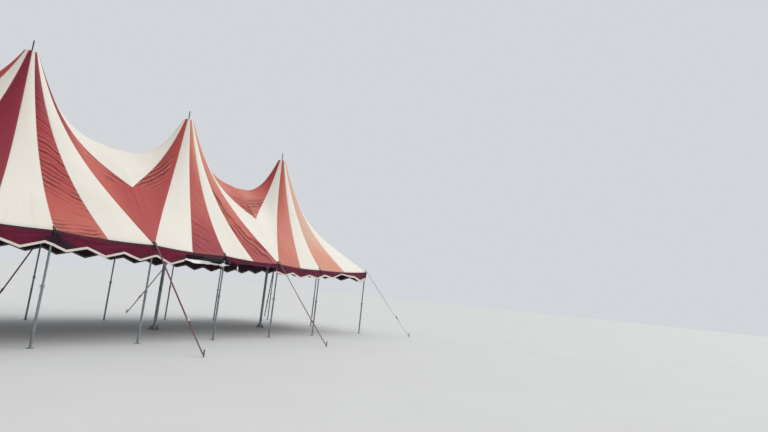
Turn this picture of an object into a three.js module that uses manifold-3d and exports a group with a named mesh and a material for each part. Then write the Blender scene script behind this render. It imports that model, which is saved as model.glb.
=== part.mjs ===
// Open-sided circus tent: a row of bays under one striped cover, in millimetres, +Z up.
// The row runs along X, its front faces -Y, and the origin is on the ground at its centre.
// Every bay hangs from a ring on its own king pole and falls to posts along the eave.
import * as THREE from 'three';
import { mergeVertices } from 'three/addons/utils/BufferGeometryUtils.js';
import Module from 'manifold-3d';

const wasm = await Module();
wasm.setup();

// Plan of the row.
const BAY_COUNT = 4;
const BAY_LENGTH = 5000;
const HALF_WIDTH = 2700;
const END_REACH = 3560;

// Heights of the cover.
const EAVE_HEIGHT = 2500;
const CORNER_RISE = 210;
const PEAK_HEIGHT = 7070;
const SADDLE_HEIGHT = 5290;
const SADDLE_ROUNDING = 0.15;
const EAVE_DIP = 40;

// How steeply the cover leaves its rim, as a share of a straight line to the peak, and the
// power with which it steepens above: below a pole, at a valley's foot, at the saddle, and
// at an end of the row.
const POLE_SLOPE = 0.625;
const FOOT_SLOPE = 0.697;
const SIDE_SLOPE = 0.689;
const END_SLOPE = 0.55;
const POLE_POWER = 2.51;
const FOOT_POWER = 4.23;
const SADDLE_POWER = 3.38;
const END_POWER = 6;

// Seams start at even angles round the ring: how far they turn towards these.
const SEAM_TURN = 2;

// Cover and valance.
const COVER_DROP = 30;
const VALANCE_THICKNESS = 6;
const VALANCE_SHORT = 275;
const VALANCE_LONG = 420;
const VALANCE_POINTS = 24;
const VALANCE_SHIFT = 100;
const END_VALANCE_POINTS = 6;
const TORN_FROM = 1030;
const STRIP_FROM = 2620;
const TORN_TO = 4865;
const TORN_DEPTH = 60;
const STRIP_DEPTH = 120;

// Lower edge of the front valance past the torn stretch, as place and depth: it is hitched
// up between the last post and the corner.
const HITCHED_EDGE = [
  [4865, 285], [5340, 355], [5785, 240], [6280, 360], [6790, 240], [7335, 330], [7790, 210],
  [8355, 275], [9000, 90], [9775, 200], [10040, 210], [10570, 420], [11066, 340],
];

// King poles and the rings they carry.
const KING_POLE_RADIUS = 50;
const KING_FOOT_RADIUS = 180;
const KING_FOOT_THICKNESS = 14;
const KING_TIP_RADIUS = 18;
const KING_TIP_LENGTH = 340;
const RING_RADIUS = 160;
const RING_WALL = 15;
const RING_DEPTH = 90;
const RING_DISC = 20;
const RING_SEAT = 60;

// Eave posts and their pins.
const POST_RADIUS = 28;
const POST_FOOT_RADIUS = 75;
const POST_FOOT_THICKNESS = 10;
const POST_INSET = 40;
const PIN_RADIUS = 8;
const PIN_ABOVE_EAVE = 125;

// Guys: a webbing strap from a washer on the pin to a stake in the ground.
const GUY_REACH = 2385;
const GUY_WIDTH = 50;
const GUY_THICKNESS = 4;
const GUY_FOOT_HEIGHT = 60;
const WASHER_RADIUS = 24;
const WASHER_THICKNESS = 6;
const WASHER_ABOVE_EAVE = 95;
const RATCHET_SIZE = [150, 62, 34];
const RATCHET_PLACE = 0.72;
const STAKE_RADIUS = 16;
const STAKE_HEIGHT = 170;
const STAKE_HEAD_RADIUS = 25;
const STAKE_HEAD_THICKNESS = 14;
const STRAP_OVERLAP = 6;

// Clearance where pieces meet, and the fineness of the surfaces.
const GAP = 0.3;
const RIM_STEPS = 4;
const COVER_RINGS = 8;
const RING_SPREAD = 1.3;
const ROUND_SIDES = 16;
const POST_SIDES = 8;

// Lengths below which two places count as one, for welding points and for sorting places.
const WELD = 1e-3;
const SAME_PLACE = 1;
const LEAST_POINT_STEP = 20;

const HALF_BAY = BAY_LENGTH / 2;
const ROW_END = (BAY_COUNT / 2 - 0.5) * BAY_LENGTH + END_REACH;

const FINISHES = {
  cover: { color: 0xe6dfd2, roughness: 0.55, metalness: 0.0 },
  valance: { color: 0x7d2430, roughness: 0.6, metalness: 0.0 },
  pole: { color: 0x9aa3a8, roughness: 0.45, metalness: 0.8 },
  ring: { color: 0xb9bcbb, roughness: 0.5, metalness: 0.6 },
  post: { color: 0x878f95, roughness: 0.5, metalness: 0.7 },
  guy: { color: 0x5d2b36, roughness: 0.8, metalness: 0.0 },
};

const group = new THREE.Group();

// Adds one named piece to the tent.
function addPiece(name, geometry, finish) {
  const mesh = new THREE.Mesh(geometry, new THREE.MeshStandardMaterial(FINISHES[finish]));
  mesh.name = name;
  group.add(mesh);
  return mesh;
}

// Turns a closed geometry into a solid that can be joined and cut.
function toSolid(geometry) {
  const plain = geometry.clone();
  plain.deleteAttribute('normal');
  plain.deleteAttribute('uv');
  const merged = mergeVertices(plain, WELD);
  return new wasm.Manifold(new wasm.Mesh({
    numProp: 3,
    vertProperties: new Float32Array(merged.attributes.position.array),
    triVerts: new Uint32Array(merged.index.array),
  }));
}

// Turns a solid back into a geometry.
function toGeometry(solid) {
  const mesh = solid.getMesh();
  const geometry = new THREE.BufferGeometry();
  geometry.setAttribute('position', new THREE.BufferAttribute(mesh.vertProperties, 3));
  geometry.setIndex(new THREE.BufferAttribute(mesh.triVerts, 1));
  geometry.computeVertexNormals();
  return geometry;
}

// A body turned about the vertical axis, from [radius, height] pairs.
function turned(profile, sides) {
  const points = profile.map(([radius, height]) => new THREE.Vector2(radius, height));
  return new THREE.LatheGeometry(points, sides).rotateX(Math.PI / 2);
}

// The space that a round piece needs round it, between two heights.
function holeSolid(radius, bottom, top, sides) {
  const wide = radius + GAP / Math.cos(Math.PI / sides);
  return toSolid(turned([
    [0, bottom],
    [wide, bottom],
    [wide, top],
    [0, top],
  ], sides));
}

// The x of a bay's king pole.
function poleX(bay) {
  return (bay - (BAY_COUNT - 1) / 2) * BAY_LENGTH;
}

// Share of the drop from ridge to eave at a share of the half width, along a valley.
// A hyperbola: rounded over the ridge, then nearly straight to the eave.
function valleyFall(share) {
  const full = Math.hypot(1, SADDLE_ROUNDING) - SADDLE_ROUNDING;
  return (Math.hypot(share, SADDLE_ROUNDING) - SADDLE_ROUNDING) / full;
}

// Dip of the eave between two posts, at a share of the way from one to the next.
function eaveDip(share) {
  return 4 * EAVE_DIP * share * (1 - share);
}

// Height of the cover's rim, the cover's slope there and the power with which it steepens
// above, for a rim point seen from the king pole.
function rimShape(dx, dy, outward) {
  const alongEave = Math.abs(dy) >= HALF_WIDTH - WELD;
  if (outward) {
    const reach = Math.abs(dx) / END_REACH;
    const share = alongEave ? reach : Math.abs(dy) / HALF_WIDTH;
    const level = EAVE_HEIGHT + CORNER_RISE * reach;
    return {
      height: level - eaveDip(share),
      slope: -(PEAK_HEIGHT - level) * (POLE_SLOPE + (END_SLOPE - POLE_SLOPE) * reach * reach),
      power: POLE_POWER + (END_POWER - POLE_POWER) * reach * reach,
    };
  }
  const rise = PEAK_HEIGHT - EAVE_HEIGHT;
  if (alongEave) {
    const share = Math.min(1, Math.abs(dx) / HALF_BAY);
    return {
      height: EAVE_HEIGHT - eaveDip(share),
      slope: -rise * (POLE_SLOPE + (FOOT_SLOPE - POLE_SLOPE) * share * share),
      power: POLE_POWER + (FOOT_POWER - POLE_POWER) * share * share,
    };
  }
  const share = Math.abs(dy) / HALF_WIDTH;
  return {
    height: SADDLE_HEIGHT - (SADDLE_HEIGHT - EAVE_HEIGHT) * valleyFall(share),
    slope: -rise * (FOOT_SLOPE * share * share + SIDE_SLOPE * share * (1 - share)),
    power: SADDLE_POWER + (FOOT_POWER - SADDLE_POWER) * share ** 3,
  };
}

// Height of the cover at a share of the way from the ring to a rim point: a straight line
// with the rim's own slope, and above it a power of what is left of the way.
function coverHeight(rim, share) {
  const left = 1 - share;
  const above = PEAK_HEIGHT - rim.height + rim.slope;
  return rim.height - rim.slope * left + above * left ** rim.power;
}

// Rim points of a bay, anticlockwise from its front left corner, with the shape at each, its
// angle seen from the pole, and how far its line turns on its way up to the ring.
function rimOf(bay) {
  const firstBay = bay === 0;
  const lastBay = bay === BAY_COUNT - 1;
  const left = firstBay ? END_REACH : HALF_BAY - GAP / 2;
  const right = lastBay ? END_REACH : HALF_BAY - GAP / 2;
  const eaveOffsets = [];
  for (let i = -RIM_STEPS; i <= RIM_STEPS; i += 1) {
    eaveOffsets.push((i < 0 ? left : right) * i / RIM_STEPS);
  }
  const sideOffsets = [];
  for (let i = -RIM_STEPS + 1; i < RIM_STEPS; i += 1) {
    sideOffsets.push(HALF_WIDTH * i / RIM_STEPS);
  }
  const rim = [];
  eaveOffsets.forEach((dx) => rim.push([dx, -HALF_WIDTH]));
  sideOffsets.forEach((dy) => rim.push([right, dy]));
  eaveOffsets.toReversed().forEach((dx) => rim.push([dx, HALF_WIDTH]));
  sideOffsets.toReversed().forEach((dy) => rim.push([-left, dy]));
  const evenStep = 2 * Math.PI / rim.length;
  return rim.map(([dx, dy], i) => {
    const outward = (firstBay && dx < 0) || (lastBay && dx > 0);
    const angle = Math.atan2(dy, dx);
    const apart = i * evenStep - 3 * Math.PI / 4 - angle;
    const turn = outward ? 0 : SEAM_TURN * (apart - 2 * Math.PI * Math.round(apart / 2 / Math.PI));
    return { reach: Math.hypot(dx, dy), angle: angle, turn: turn, ...rimShape(dx, dy, outward) };
  });
}

// The cover of one bay: a sheet that hangs from the ring to the rim, closed at its edges.
function coverGeometry(bay) {
  const rim = rimOf(bay);
  const hole = RING_RADIUS - RING_WALL;
  const count = rim.length;
  const positions = [];
  for (const drop of [0, COVER_DROP]) {
    for (let k = 0; k <= COVER_RINGS; k += 1) {
      const share = (k / COVER_RINGS) ** RING_SPREAD;
      for (const point of rim) {
        const radius = point.reach * share + hole * (1 - share);
        const angle = point.angle + point.turn * (1 - share);
        positions.push(
          poleX(bay) + radius * Math.cos(angle),
          radius * Math.sin(angle),
          coverHeight(point, share) - drop,
        );
      }
    }
  }
  const under = count * (COVER_RINGS + 1);
  const indices = [];
  const addQuad = (a, b, c, d) => indices.push(a, b, c, a, c, d);
  for (let j = 0; j < count; j += 1) {
    const next = (j + 1) % count;
    for (let k = 0; k < COVER_RINGS; k += 1) {
      const inner = k * count;
      const outer = inner + count;
      addQuad(inner + j, outer + j, outer + next, inner + next);
      addQuad(under + inner + j, under + inner + next, under + outer + next, under + outer + j);
    }
    const edge = COVER_RINGS * count;
    addQuad(edge + j, under + edge + j, under + edge + next, edge + next);
    addQuad(j, next, under + next, under + j);
  }
  const geometry = new THREE.BufferGeometry();
  geometry.setAttribute('position', new THREE.Float32BufferAttribute(positions, 3));
  geometry.setIndex(indices);
  return geometry;
}

// Places of the eave posts: each long side has one at every valley, pole and corner,
// and each end has one in its middle.
function postPlaces() {
  const places = [];
  const xs = [-ROW_END + POST_INSET];
  for (let i = 1; i < 2 * BAY_COUNT; i += 1) {
    xs.push((i - BAY_COUNT) * HALF_BAY);
  }
  xs.push(ROW_END - POST_INSET);
  for (const side of [-1, 1]) {
    xs.forEach((x, i) => {
      const corner = i === 0 || i === xs.length - 1;
      places.push({
        name: `eave_post_${side < 0 ? 'front' : 'back'}_${i + 1}`,
        x: x,
        y: side * (HALF_WIDTH - POST_INSET),
        eave: EAVE_HEIGHT + (corner ? CORNER_RISE : 0),
        guyed: corner || i % 2 === 0,
        turn: Math.atan2(side, corner ? Math.sign(x) : 0),
        guyName: `guy_${side < 0 ? 'front' : 'back'}_${i / 2 + 1}`,
      });
    });
  }
  for (const side of [-1, 1]) {
    places.push({
      name: `eave_post_${side < 0 ? 'left' : 'right'}_end`,
      x: side * (ROW_END - POST_INSET),
      y: 0,
      eave: EAVE_HEIGHT + CORNER_RISE,
      guyed: false,
    });
  }
  return places;
}

// A post: foot plate, tube and the pin on which the cover hangs.
function postGeometry(eave) {
  const top = eave - COVER_DROP;
  return turned([
    [0, 0],
    [POST_FOOT_RADIUS, 0],
    [POST_FOOT_RADIUS, POST_FOOT_THICKNESS],
    [POST_RADIUS, POST_FOOT_THICKNESS],
    [POST_RADIUS, top],
    [PIN_RADIUS, top],
    [PIN_RADIUS, eave + PIN_ABOVE_EAVE],
    [0, eave + PIN_ABOVE_EAVE],
  ], POST_SIDES);
}

// A king pole: foot plate, tube, shoulder for the ring and the thin tip above it.
function kingPoleGeometry() {
  const shoulder = PEAK_HEIGHT - RING_SEAT;
  return turned([
    [0, 0],
    [KING_FOOT_RADIUS, 0],
    [KING_FOOT_RADIUS, KING_FOOT_THICKNESS],
    [KING_POLE_RADIUS, KING_FOOT_THICKNESS],
    [KING_POLE_RADIUS, shoulder],
    [KING_TIP_RADIUS, shoulder],
    [KING_TIP_RADIUS, PEAK_HEIGHT + KING_TIP_LENGTH],
    [0, PEAK_HEIGHT + KING_TIP_LENGTH],
  ], ROUND_SIDES);
}

// A ring: a disc on the pole's shoulder inside a short round wall.
function ringGeometry() {
  const disc = PEAK_HEIGHT - RING_SEAT + GAP;
  const bore = KING_TIP_RADIUS + GAP;
  const inner = RING_RADIUS - RING_WALL;
  return turned([
    [bore, disc],
    [inner, disc],
    [inner, PEAK_HEIGHT - RING_DEPTH],
    [RING_RADIUS, PEAK_HEIGHT - RING_DEPTH],
    [RING_RADIUS, PEAK_HEIGHT],
    [inner, PEAK_HEIGHT],
    [inner, disc + RING_DISC],
    [bore, disc + RING_DISC],
    [bore, disc],
  ], ROUND_SIDES);
}

// A guy, drawn along +X from its pin: washer, strap, ratchet and stake, joined.
function guyGeometry(eave) {
  const outline = new THREE.Shape();
  outline.absarc(0, 0, WASHER_RADIUS, 0, 2 * Math.PI);
  const bore = new THREE.Path();
  bore.absarc(0, 0, PIN_RADIUS + GAP / Math.cos(Math.PI / POST_SIDES), 0, 2 * Math.PI, true);
  outline.holes.push(bore);
  const washer = new THREE.ExtrudeGeometry(outline, {
    depth: WASHER_THICKNESS,
    bevelEnabled: false,
    curveSegments: POST_SIDES,
  });
  const washerHeight = eave + WASHER_ABOVE_EAVE;
  washer.translate(0, 0, washerHeight);
  const start = new THREE.Vector3(WASHER_RADIUS - STRAP_OVERLAP, 0, washerHeight + WASHER_THICKNESS / 2);
  const end = new THREE.Vector3(GUY_REACH, 0, GUY_FOOT_HEIGHT);
  const along = end.clone().sub(start);
  const tilt = Math.atan2(-along.z, along.x);
  const onStrap = (share) => start.clone().addScaledVector(along, share);
  const strap = new THREE.BoxGeometry(along.length(), GUY_WIDTH, GUY_THICKNESS);
  strap.rotateY(tilt).translate(...onStrap(0.5));
  const ratchet = new THREE.BoxGeometry(...RATCHET_SIZE);
  ratchet.rotateY(tilt).translate(...onStrap(RATCHET_PLACE));
  const neck = STAKE_HEIGHT - STAKE_HEAD_THICKNESS;
  const stake = turned([
    [0, 0],
    [STAKE_RADIUS, 0],
    [STAKE_RADIUS, neck],
    [STAKE_HEAD_RADIUS, neck],
    [STAKE_HEAD_RADIUS, STAKE_HEIGHT],
    [0, STAKE_HEIGHT],
  ], POST_SIDES).translate(GUY_REACH, 0, 0);
  return toGeometry([strap, ratchet, stake].reduce(
    (joined, piece) => joined.add(toSolid(piece)),
    toSolid(washer),
  ));
}

// Lower edge of a whole valance, as place and depth pairs: a zigzag between its two ends.
function zigzagEdge(from, to, count, shift) {
  const step = (to - from) / count;
  const swing = VALANCE_LONG - VALANCE_SHORT;
  const depthAt = (place) => {
    const phase = (place - shift - from) / step;
    return VALANCE_SHORT + swing * (1 - Math.abs(2 * (phase - Math.floor(phase)) - 1));
  };
  const edge = [[from, depthAt(from)]];
  for (let i = 0; i <= 2 * count; i += 1) {
    const place = from + shift + i * step / 2;
    if (place > from + SAME_PLACE && place < to - SAME_PLACE) {
      edge.push([place, depthAt(place)]);
    }
  }
  edge.push([to, depthAt(to)]);
  return edge;
}

// Lower edge of the front valance: whole, then torn off, then a narrow strip, then hitched up.
function frontEdge(half) {
  const whole = zigzagEdge(-half, half, VALANCE_POINTS, VALANCE_SHIFT);
  const kept = whole.filter(([place]) => place < TORN_FROM - LEAST_POINT_STEP);
  return [
    ...kept,
    [TORN_FROM, VALANCE_SHORT],
    [TORN_FROM, TORN_DEPTH],
    [STRIP_FROM, TORN_DEPTH],
    [STRIP_FROM, STRIP_DEPTH],
    [TORN_TO, STRIP_DEPTH],
    ...HITCHED_EDGE,
  ];
}

// Places of the valance's top edge where the eave changes height.
function topPlaces(half, posts) {
  const places = [];
  posts.slice(0, -1).forEach((post, i) => {
    for (let k = 0; k < RIM_STEPS; k += 1) {
      places.push(post + (posts[i + 1] - post) * k / RIM_STEPS);
    }
  });
  return [-half, ...places.slice(1), half];
}

// A valance: its top follows the eave and its lower edge hangs below, given its thickness.
function valanceGeometry(half, posts, topAt, edge) {
  const outline = new THREE.Shape();
  topPlaces(half, posts).forEach((place, i) => {
    if (i === 0) {
      outline.moveTo(place, topAt(place));
    } else {
      outline.lineTo(place, topAt(place));
    }
  });
  edge.toReversed().forEach(([place, depth]) => outline.lineTo(place, topAt(place) - depth));
  outline.closePath();
  return new THREE.ExtrudeGeometry(outline, { depth: VALANCE_THICKNESS, bevelEnabled: false })
    .rotateX(Math.PI / 2);
}

// Top of the long sides' valances: dips between posts, and rises to the corners.
function longSideTop(x) {
  const reach = Math.min(Math.abs(x), ROW_END);
  const beyond = reach - (ROW_END - END_REACH);
  if (beyond > 0) {
    return EAVE_HEIGHT + CORNER_RISE * beyond / END_REACH - eaveDip(beyond / END_REACH);
  }
  return EAVE_HEIGHT - eaveDip((reach / HALF_BAY) % 1);
}

// Top of the ends' valances, which dips between the corners and the middle post.
function endTop(y) {
  return EAVE_HEIGHT + CORNER_RISE - eaveDip(Math.abs(y) / HALF_WIDTH);
}

const places = postPlaces();
const pinHole = holeSolid(
  PIN_RADIUS,
  EAVE_HEIGHT - CORNER_RISE,
  EAVE_HEIGHT + 2 * CORNER_RISE,
  POST_SIDES,
);
const ringHole = holeSolid(RING_RADIUS, SADDLE_HEIGHT, PEAK_HEIGHT + RING_RADIUS, ROUND_SIDES);

for (let bay = 0; bay < BAY_COUNT; bay += 1) {
  let cover = toSolid(coverGeometry(bay)).subtract(ringHole.translate(poleX(bay), 0, 0));
  const bayLeft = bay === 0 ? -ROW_END : poleX(bay) - HALF_BAY;
  const bayRight = bay === BAY_COUNT - 1 ? ROW_END : poleX(bay) + HALF_BAY;
  for (const place of places) {
    if (place.x > bayLeft - SAME_PLACE && place.x < bayRight + SAME_PLACE) {
      cover = cover.subtract(pinHole.translate(place.x, place.y, 0));
    }
  }
  addPiece(`cover_bay_${bay + 1}`, toGeometry(cover), 'cover');
  addPiece(`king_pole_${bay + 1}`, kingPoleGeometry(), 'pole').position.x = poleX(bay);
  addPiece(`peak_ring_${bay + 1}`, ringGeometry(), 'ring').position.x = poleX(bay);
}

for (const place of places) {
  addPiece(place.name, postGeometry(place.eave), 'post').position.set(place.x, place.y, 0);
  if (place.guyed) {
    const guy = addPiece(place.guyName, guyGeometry(place.eave), 'guy');
    guy.position.set(place.x, place.y, 0);
    guy.rotation.z = place.turn;
  }
}

const longHalf = ROW_END + VALANCE_THICKNESS + 2 * GAP;
const longPosts = [-ROW_END];
for (let i = 1; i < 2 * BAY_COUNT; i += 1) {
  longPosts.push((i - BAY_COUNT) * HALF_BAY);
}
longPosts.push(ROW_END);
const wholeEdge = zigzagEdge(-longHalf, longHalf, VALANCE_POINTS, VALANCE_SHIFT);
addPiece(
  'valance_front',
  valanceGeometry(longHalf, longPosts, longSideTop, frontEdge(longHalf)),
  'valance',
).position.y = -HALF_WIDTH - GAP;
addPiece(
  'valance_back',
  valanceGeometry(longHalf, longPosts, longSideTop, wholeEdge),
  'valance',
).position.y = HALF_WIDTH + GAP + VALANCE_THICKNESS;
const endEdge = zigzagEdge(-HALF_WIDTH, HALF_WIDTH, END_VALANCE_POINTS, 0);
for (const [name, side] of [['valance_left', -1], ['valance_right', 1]]) {
  const geometry = valanceGeometry(HALF_WIDTH, [-HALF_WIDTH, 0, HALF_WIDTH], endTop, endEdge);
  const valance = addPiece(name, geometry, 'valance');
  valance.rotation.z = side * Math.PI / 2;
  valance.position.x = side * (ROW_END + GAP);
}

export default group;
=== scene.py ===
"""Looks of an open-sided circus tent: a striped cover hung from a row of king poles.

Everything is in metres, +Z up. The row runs along X, and its front faces -Y.
"""

import math

import bpy
import numpy as np
from mathutils import Matrix, Vector


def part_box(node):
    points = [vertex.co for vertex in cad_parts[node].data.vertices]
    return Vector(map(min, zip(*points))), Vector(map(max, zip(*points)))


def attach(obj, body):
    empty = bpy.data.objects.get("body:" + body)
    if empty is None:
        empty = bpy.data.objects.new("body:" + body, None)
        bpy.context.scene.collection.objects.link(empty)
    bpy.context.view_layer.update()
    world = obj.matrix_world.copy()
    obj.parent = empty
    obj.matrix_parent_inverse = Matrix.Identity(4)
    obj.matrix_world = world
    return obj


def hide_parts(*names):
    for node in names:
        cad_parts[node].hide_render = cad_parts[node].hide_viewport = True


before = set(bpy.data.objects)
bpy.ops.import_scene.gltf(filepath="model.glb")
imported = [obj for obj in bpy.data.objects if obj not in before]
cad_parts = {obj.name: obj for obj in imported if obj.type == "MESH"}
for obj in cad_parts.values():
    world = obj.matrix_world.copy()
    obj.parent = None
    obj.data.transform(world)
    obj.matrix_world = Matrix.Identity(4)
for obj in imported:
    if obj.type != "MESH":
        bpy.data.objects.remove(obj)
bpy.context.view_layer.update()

# Sizes read from the frame, and those of the solids that a box doesn't give: how deep a pole's
# seat lies below the peak, a pin's height above the eave, the way from the rim to a post, how far
# a guy goes out, and the share of its length where the ratchet sits.
BAY_COUNT = 4
POLE_X = [0.5 * (low.x + high.x) for low, high in (
    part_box(f"king_pole_{i + 1}") for i in range(BAY_COUNT))]
BAY = POLE_X[1] - POLE_X[0]
HALF_BAY = BAY / 2
ROW_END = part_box("cover_bay_4")[1].x
HALF_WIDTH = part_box("cover_bay_4")[1].y
END_REACH = ROW_END - POLE_X[3]
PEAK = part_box("peak_ring_1")[1].z
RING_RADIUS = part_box("peak_ring_1")[1].x - POLE_X[0]
RING_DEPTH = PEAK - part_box("peak_ring_1")[0].z
TIP_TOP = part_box("king_pole_1")[1].z
SEAT = PEAK - 0.06
PIN_ABOVE_EAVE = 0.125
POST_INSET = 0.04
GUY_REACH = 2.385
RATCHET_PLACE = 0.72
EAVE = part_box("eave_post_front_2")[1].z - PIN_ABOVE_EAVE
CORNER_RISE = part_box("eave_post_front_1")[1].z - PIN_ABOVE_EAVE - EAVE

# The cover's form, as in the frame: height of the saddles and how they are rounded, dip of the
# eave, slopes and powers below a pole, at a valley's foot, on a valley and at the row's end, how
# far the lines turn in plan, the cloth's thickness, and the bays with the stripes swapped.
SADDLE = 5.29
SADDLE_ROUNDING = 0.15
EAVE_DIP = 0.04
POLE_SLOPE, FOOT_SLOPE, SIDE_SLOPE, END_SLOPE = 0.625, 0.697, 0.689, 0.55
POLE_POWER, FOOT_POWER, SADDLE_POWER, END_POWER = 2.51, 4.23, 3.38, 6
SEAM_TURN = 2
COVER_THICKNESS = 0.003
SWAPPED_BAYS = (1, 3)
# Relief of the cloth: swell of a panel, how far a seam pulls in and over what width, unevenness
# of two sizes, how far a crease bends in spacings, and the first seeds of the random numbers.
PANEL_SWELL = 0.016
SEAM_PULL, SEAM_SPREAD = 0.006, 0.02
BROAD_UNEVEN, FINE_UNEVEN = 0.010, 0.0035
CREASE_BEND = 0.45
FIRST_CREASE_SEED = 20
FIRST_VALANCE_SEED = 30
# Direction of the painted light on the red: faces turned this way are painted paler, and faces turned away
# deeper.
PAINTED_LIGHT_DIRECTION = np.array((0.70, -0.20, 0.68))
# Upwards, side of the noise's lattice, a length or share that counts as nothing, and the angle
# in degrees from which an edge is drawn sharp.
UP = np.array((0, 0, 1.0))
LATTICE = 64
TINY = 1e-6
SHARP_ANGLE = 38

# Valances: depth between two points and at a point, how many points a side has, how far the
# points are shifted along it, the binding and the black band along the top, how far the hem laps
# over the cover's rim, how far the cloth stands off the rim on the whole and at least, how thick
# it is, and the grid: width of a column, and rows across the loose binding.
VALANCE_SHORT = 0.275
VALANCE_LONG = 0.42
VALANCE_POINTS = 24
END_VALANCE_POINTS = 6
VALANCE_SHIFT = 0.1
BINDING_WIDTH = 0.056
HEM_BAND = 0.020
HEM_LAP = 0.006
VALANCE_STAND = 0.012
LEAST_STAND = 0.004
VALANCE_THICKNESS = 0.0018
RIBBON_THICKNESS = 0.0016
VALANCE_COLUMN = 0.03
RIBBON_ROWS = 6

# Colours in linear light. The red goes through its stops as it bleaches and as its painted light grows:
# from, to, colour.
CREAM = (0.800, 0.757, 0.672)
DULL_CREAM = (0.760, 0.714, 0.622)
DEEPEST_RED = (0.205, 0.014, 0.032)
REDS_BY_FADE_AND_LIGHT = (
    (-0.1, 0.36, (0.370, 0.044, 0.048)), (0.28, 0.74, (0.500, 0.110, 0.085)),
    (0.66, 1.02, (0.640, 0.262, 0.172)), (1.0, 1.4, (0.625, 0.384, 0.280)),
)
# Painted shade in a crease's trough and painted highlight on its crest.
FOLD_SHADE = (0.17, 0.02, 0.035)
FOLD_CREST_HIGHLIGHT = (0.74, 0.30, 0.22)
RAIN_MARK = (0.27, 0.22, 0.16)
EAVE_GRIME = (0.20, 0.17, 0.13)
EAVE_HEM = (0.024, 0.007, 0.014)
WELT_SHADE = (0.30, 0.20, 0.17)
COVER_THREAD = (0.62, 0.55, 0.46)
# Painted shade: dark navy for the cover's inner face.
INNER_FACE_SHADE = (0.022, 0.030, 0.042)
MAROON = (0.125, 0.006, 0.028)
WORN_MAROON = (0.185, 0.012, 0.040)
MAROON_STREAK = (0.060, 0.006, 0.024)
# Painted shadow: dark navy for the folds under some posts.
FOLD_SHADOW_COLOUR = (0.010, 0.008, 0.018)
BAND_BLACKS = (0.016, 0.005, 0.010), (0.034, 0.010, 0.020)
VALANCE_THREAD = (0.40, 0.33, 0.28)
# Painted shade for the valance's inner face.
VALANCE_BACK_SHADE = (0.020, 0.014, 0.022)
BINDING_TONES = (0.74, 0.69, 0.60), (0.55, 0.49, 0.40)
LOOSE_BINDING_TONES = (0.90, 0.90, 0.88), (0.72, 0.71, 0.68)
SCRATCHED = (0.55, 0.55, 0.54)
RUBBER = (0.010, 0.010, 0.013)
DUSTY_RUBBER = (0.030, 0.028, 0.030)
STRAP = (0.085, 0.017, 0.027)
WORN_STRAP = (0.125, 0.032, 0.040)
STRAP_EDGE = (0.30, 0.16, 0.15)
MUD = (0.15, 0.125, 0.10)
FLOOR_TONES = (0.60, 0.60, 0.59), (0.66, 0.66, 0.65)
# Pitch of the weave and of the stitches, half width of a seam's welt, and gloss of the cloth.
WEAVE_PITCH = 0.0024
STITCH_PITCH = 0.007
SEAM_WELT = 0.017
CLOTH_SPECULAR = 0.14

# The photograph's camera.
CAMERA_PLACE = (-8.507, -14.084, 1.852)
CAMERA_YAW = 61.207
CAMERA_PITCH = 8.899
CAMERA_ROLL = 5.664
CAMERA_LENS = 23.128
FLOOR_REACH = 220.0


def make_mesh(name, points, faces):
    """A smooth-shaded mesh object from an array of points and a list of face index arrays."""
    mesh = bpy.data.meshes.new(name)
    mesh.from_pydata(points.tolist(), [], [face for block in faces for face in block.tolist()])
    mesh.polygons.foreach_set("use_smooth", np.full(len(mesh.polygons), True))
    mesh.update()
    thing = bpy.data.objects.new(name, mesh)
    bpy.context.scene.collection.objects.link(thing)
    return thing


def grid_faces(rows, columns, around, ring=False):
    """Quads of a grid, closed across its columns where around is true, and its rows with ring."""
    across = np.arange(columns if around else columns - 1)
    along = np.arange(rows if ring else rows - 1)
    row, column = (part.ravel() for part in np.meshgrid(along, across, indexing="ij"))
    next_row, beside = (row + 1) % rows, (column + 1) % columns
    return np.stack([
        row * columns + column,
        next_row * columns + column,
        next_row * columns + beside,
        row * columns + beside,
    ], axis=1)


def set_uv(thing, corner_uv, name="cloth"):
    """Writes one UV pair for every face corner."""
    layer = thing.data.uv_layers.new(name=name)
    layer.uv.foreach_set("vector", np.asarray(corner_uv, np.float32).ravel())


def set_values(thing, name, values):
    """Writes one number for every point, as a named attribute."""
    layer = thing.data.attributes.new(name, "FLOAT", "POINT")
    layer.data.foreach_set("value", np.asarray(values, np.float32).ravel())


def dress(thing, materials, slot, *nodes):
    """Gives a piece its materials, and lets it stand for CAD nodes on the one body. Its slot is not used."""
    for material in materials:
        thing.data.materials.append(material)
    if nodes:
        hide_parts(*nodes)
    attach(thing, "root")


def thicken(thing, thickness, offset):
    """A Solidify modifier that turns a sheet into closed cloth, with sharp edges at its rim.

    The inner face has the sheet's second material.
    """
    edge_of = np.zeros(len(thing.data.loops), int)
    thing.data.loops.foreach_get("edge_index", edge_of)
    rim = np.bincount(edge_of, minlength=len(thing.data.edges)) == 1
    thing.data.attributes.new("sharp_edge", "BOOLEAN", "EDGE").data.foreach_set("value", rim)
    solid = thing.modifiers.new("cloth", "SOLIDIFY")
    solid.thickness = thickness
    solid.offset = offset
    solid.material_offset = 1


def smooth(t):
    """3t^2 - 2t^3, which leaves 0 and reaches 1 without a kink."""
    return t * t * (3 - 2 * t)


def blend(start, end, share):
    """A value between start and end, by a share of the way."""
    return start + (end - start) * share


def soft_noise(x, y, seed):
    """Smooth value noise between -1 and 1.

    Random numbers stand on a square lattice, and between them the value is smoothed along x
    and along y.
    """
    lattice = np.random.default_rng(seed).uniform(-1, 1, (LATTICE, LATTICE))
    column, row = np.floor(x).astype(int), np.floor(y).astype(int)
    tx, ty = smooth(x - column), smooth(y - row)

    def along(line):
        left = lattice[line % LATTICE, column % LATTICE]
        right = lattice[line % LATTICE, (column + 1) % LATTICE]
        return left * (1 - tx) + right * tx

    return along(row) * (1 - ty) + along(row + 1) * ty


def ease(value, low, high):
    """0 below low, 1 above high, and smoothed between."""
    return smooth(np.clip((value - low) / (high - low), 0, 1))


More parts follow.
